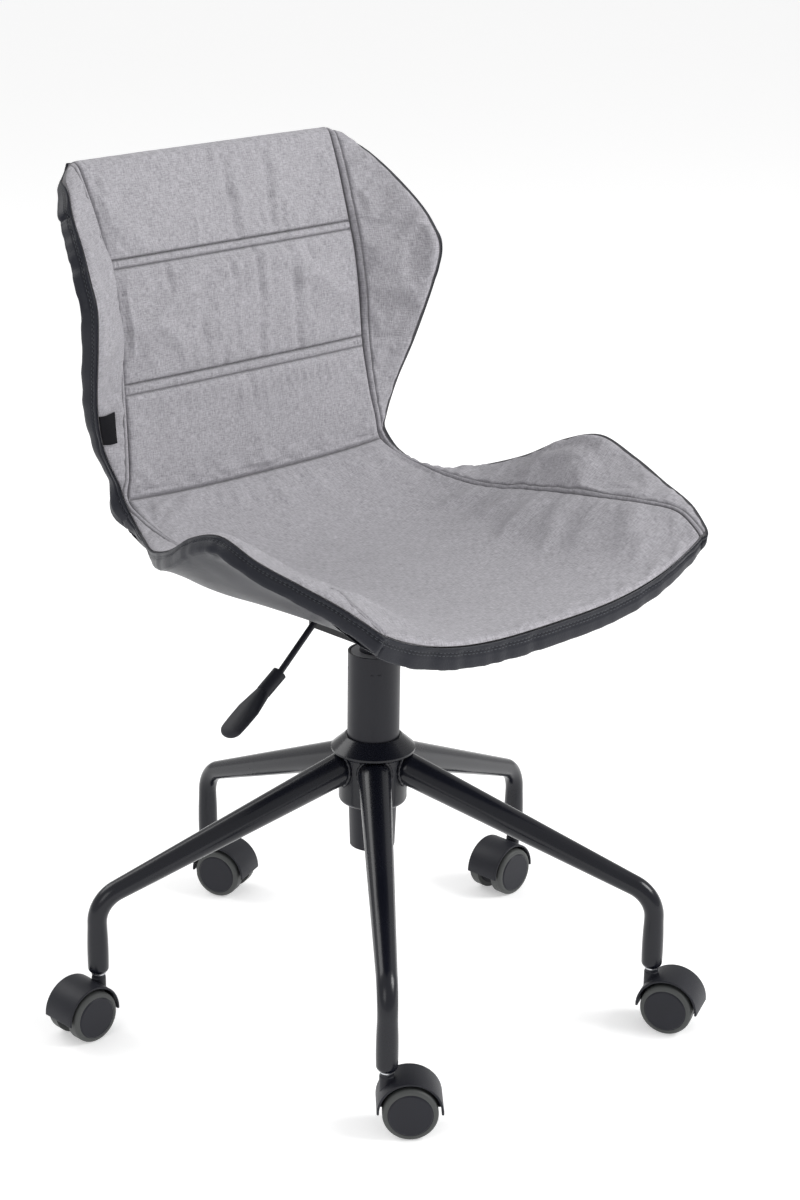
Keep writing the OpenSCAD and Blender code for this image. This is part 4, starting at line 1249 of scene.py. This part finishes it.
def hood_shape(k):
    """The drum's wall: a flat outline in (across, radius) with rounded edges, turned about the axle."""
    _, axle, axis = castor_parts(k)
    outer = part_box(f"tyre_{k}_left")[1].z - axle[2] + HOOD_OVER_TYRE
    band = [(-HOOD_HALF, outer), (HOOD_HALF, outer), (HOOD_HALF, outer - HOOD_WALL), (-HOOD_HALF, outer - HOOD_WALL)]
    outline = rounded(band, 0.001, 5)
    angle = np.linspace(-HOOD_LIP, np.pi + HOOD_LIP, 73)
    ahead = unit(np.cross(axis, [0, 0, 1.0]))
    spokes = np.cos(angle)[:, None] * ahead + np.sin(angle)[:, None] * np.array([0, 0, 1.0])
    points = axle + outline[None, :, :1] * axis + outline[None, :, 1:] * spokes[:, None]
    n = len(outline)
    faces = grid_faces(len(angle), n, wrap_cols=True).tolist()
    faces += [list(range(n))[::-1], list(range((len(angle) - 1) * n, len(angle) * n))]
    return points.reshape(-1, 3), faces, ahead, outer


def hood_neck(k):
    """A turned neck for the stem: a round post with a small step under its rounded top."""
    stem, axle, _ = castor_parts(k)
    top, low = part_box(f"hood_{k}")[1].z, axle[2] - 0.001
    turned = rounded([(BORE, low), (NECK, low), (NECK, top - 0.0035), (NECK - NECK_STEP, top - 0.0030),
                      (NECK - NECK_STEP, top), (BORE, top)], 0.0004, 4)
    points, faces = lathe(turned, 40)
    return points + np.array([stem[0], stem[1], 0]), faces


def hood_web(k):
    """The plate between the wheels: a half disc with a boss, as a closed outline pushed through its thickness."""
    _, axle, axis = castor_parts(k)
    ahead, outer = hood_shape(k)[2:]
    angle = np.linspace(0, np.pi, 41)
    rim_ = np.stack([(outer - 0.001) * np.cos(angle), (outer - 0.001) * np.sin(angle)], -1)
    boss_turn = np.linspace(np.pi, 2 * np.pi, 21)
    boss = BOSS * np.stack([np.cos(boss_turn), np.sin(boss_turn)], -1)
    outline = np.concatenate([rim_, boss])
    flat = axle + outline[:, :1] * ahead + outline[:, 1:] * np.array([0, 0, 1.0])
    n = len(outline)
    points = np.concatenate([flat - axis * WEB_HALF, flat + axis * WEB_HALF])
    faces = [list(range(n))[::-1], list(range(n, 2 * n))]
    faces += [[q, (q + 1) % n, (q + 1) % n + n, q + n] for q in range(n)]
    return points, faces


for k in range(1, 6):
    drum = hood_shape(k)[:2]
    neck, web = hood_neck(k), hood_web(k)
    for part_name, shape in (("drum", drum), ("neck", neck), ("web", web)):
        hood = outward(piece(f"hood_{part_name}_{k}", *shape, f"caster_{k}", "black_plastic", hood_plastic))
        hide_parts(f"hood_{k}")


# %% [markdown]
# ## The floor
# The studio floor is one pale sheet that runs far past the chair.

# %% Floor
floor_mesh = bpy.data.meshes.new("floor")
reach = 80.0
floor_corners = [(-reach, -reach, 0), (reach, -reach, 0), (reach, reach, 0), (-reach, reach, 0)]
floor_mesh.from_pydata(floor_corners, [], [(0, 1, 2, 3)])
floor = bpy.data.objects.new("floor", floor_mesh)
scene.collection.objects.link(floor)
paper = Finish("studio_paper", (0.93, 0.93, 0.93), 0.9, Emission_Color=(1, 1, 1, 1), Emission_Strength=0.35)
paper.drive("Base Color", paper.blend(paper.noise(paper.place(), 0.6), (0.93, 0.93, 0.93), (0.94, 0.94, 0.94)))
floor_mesh.materials.append(paper.material)
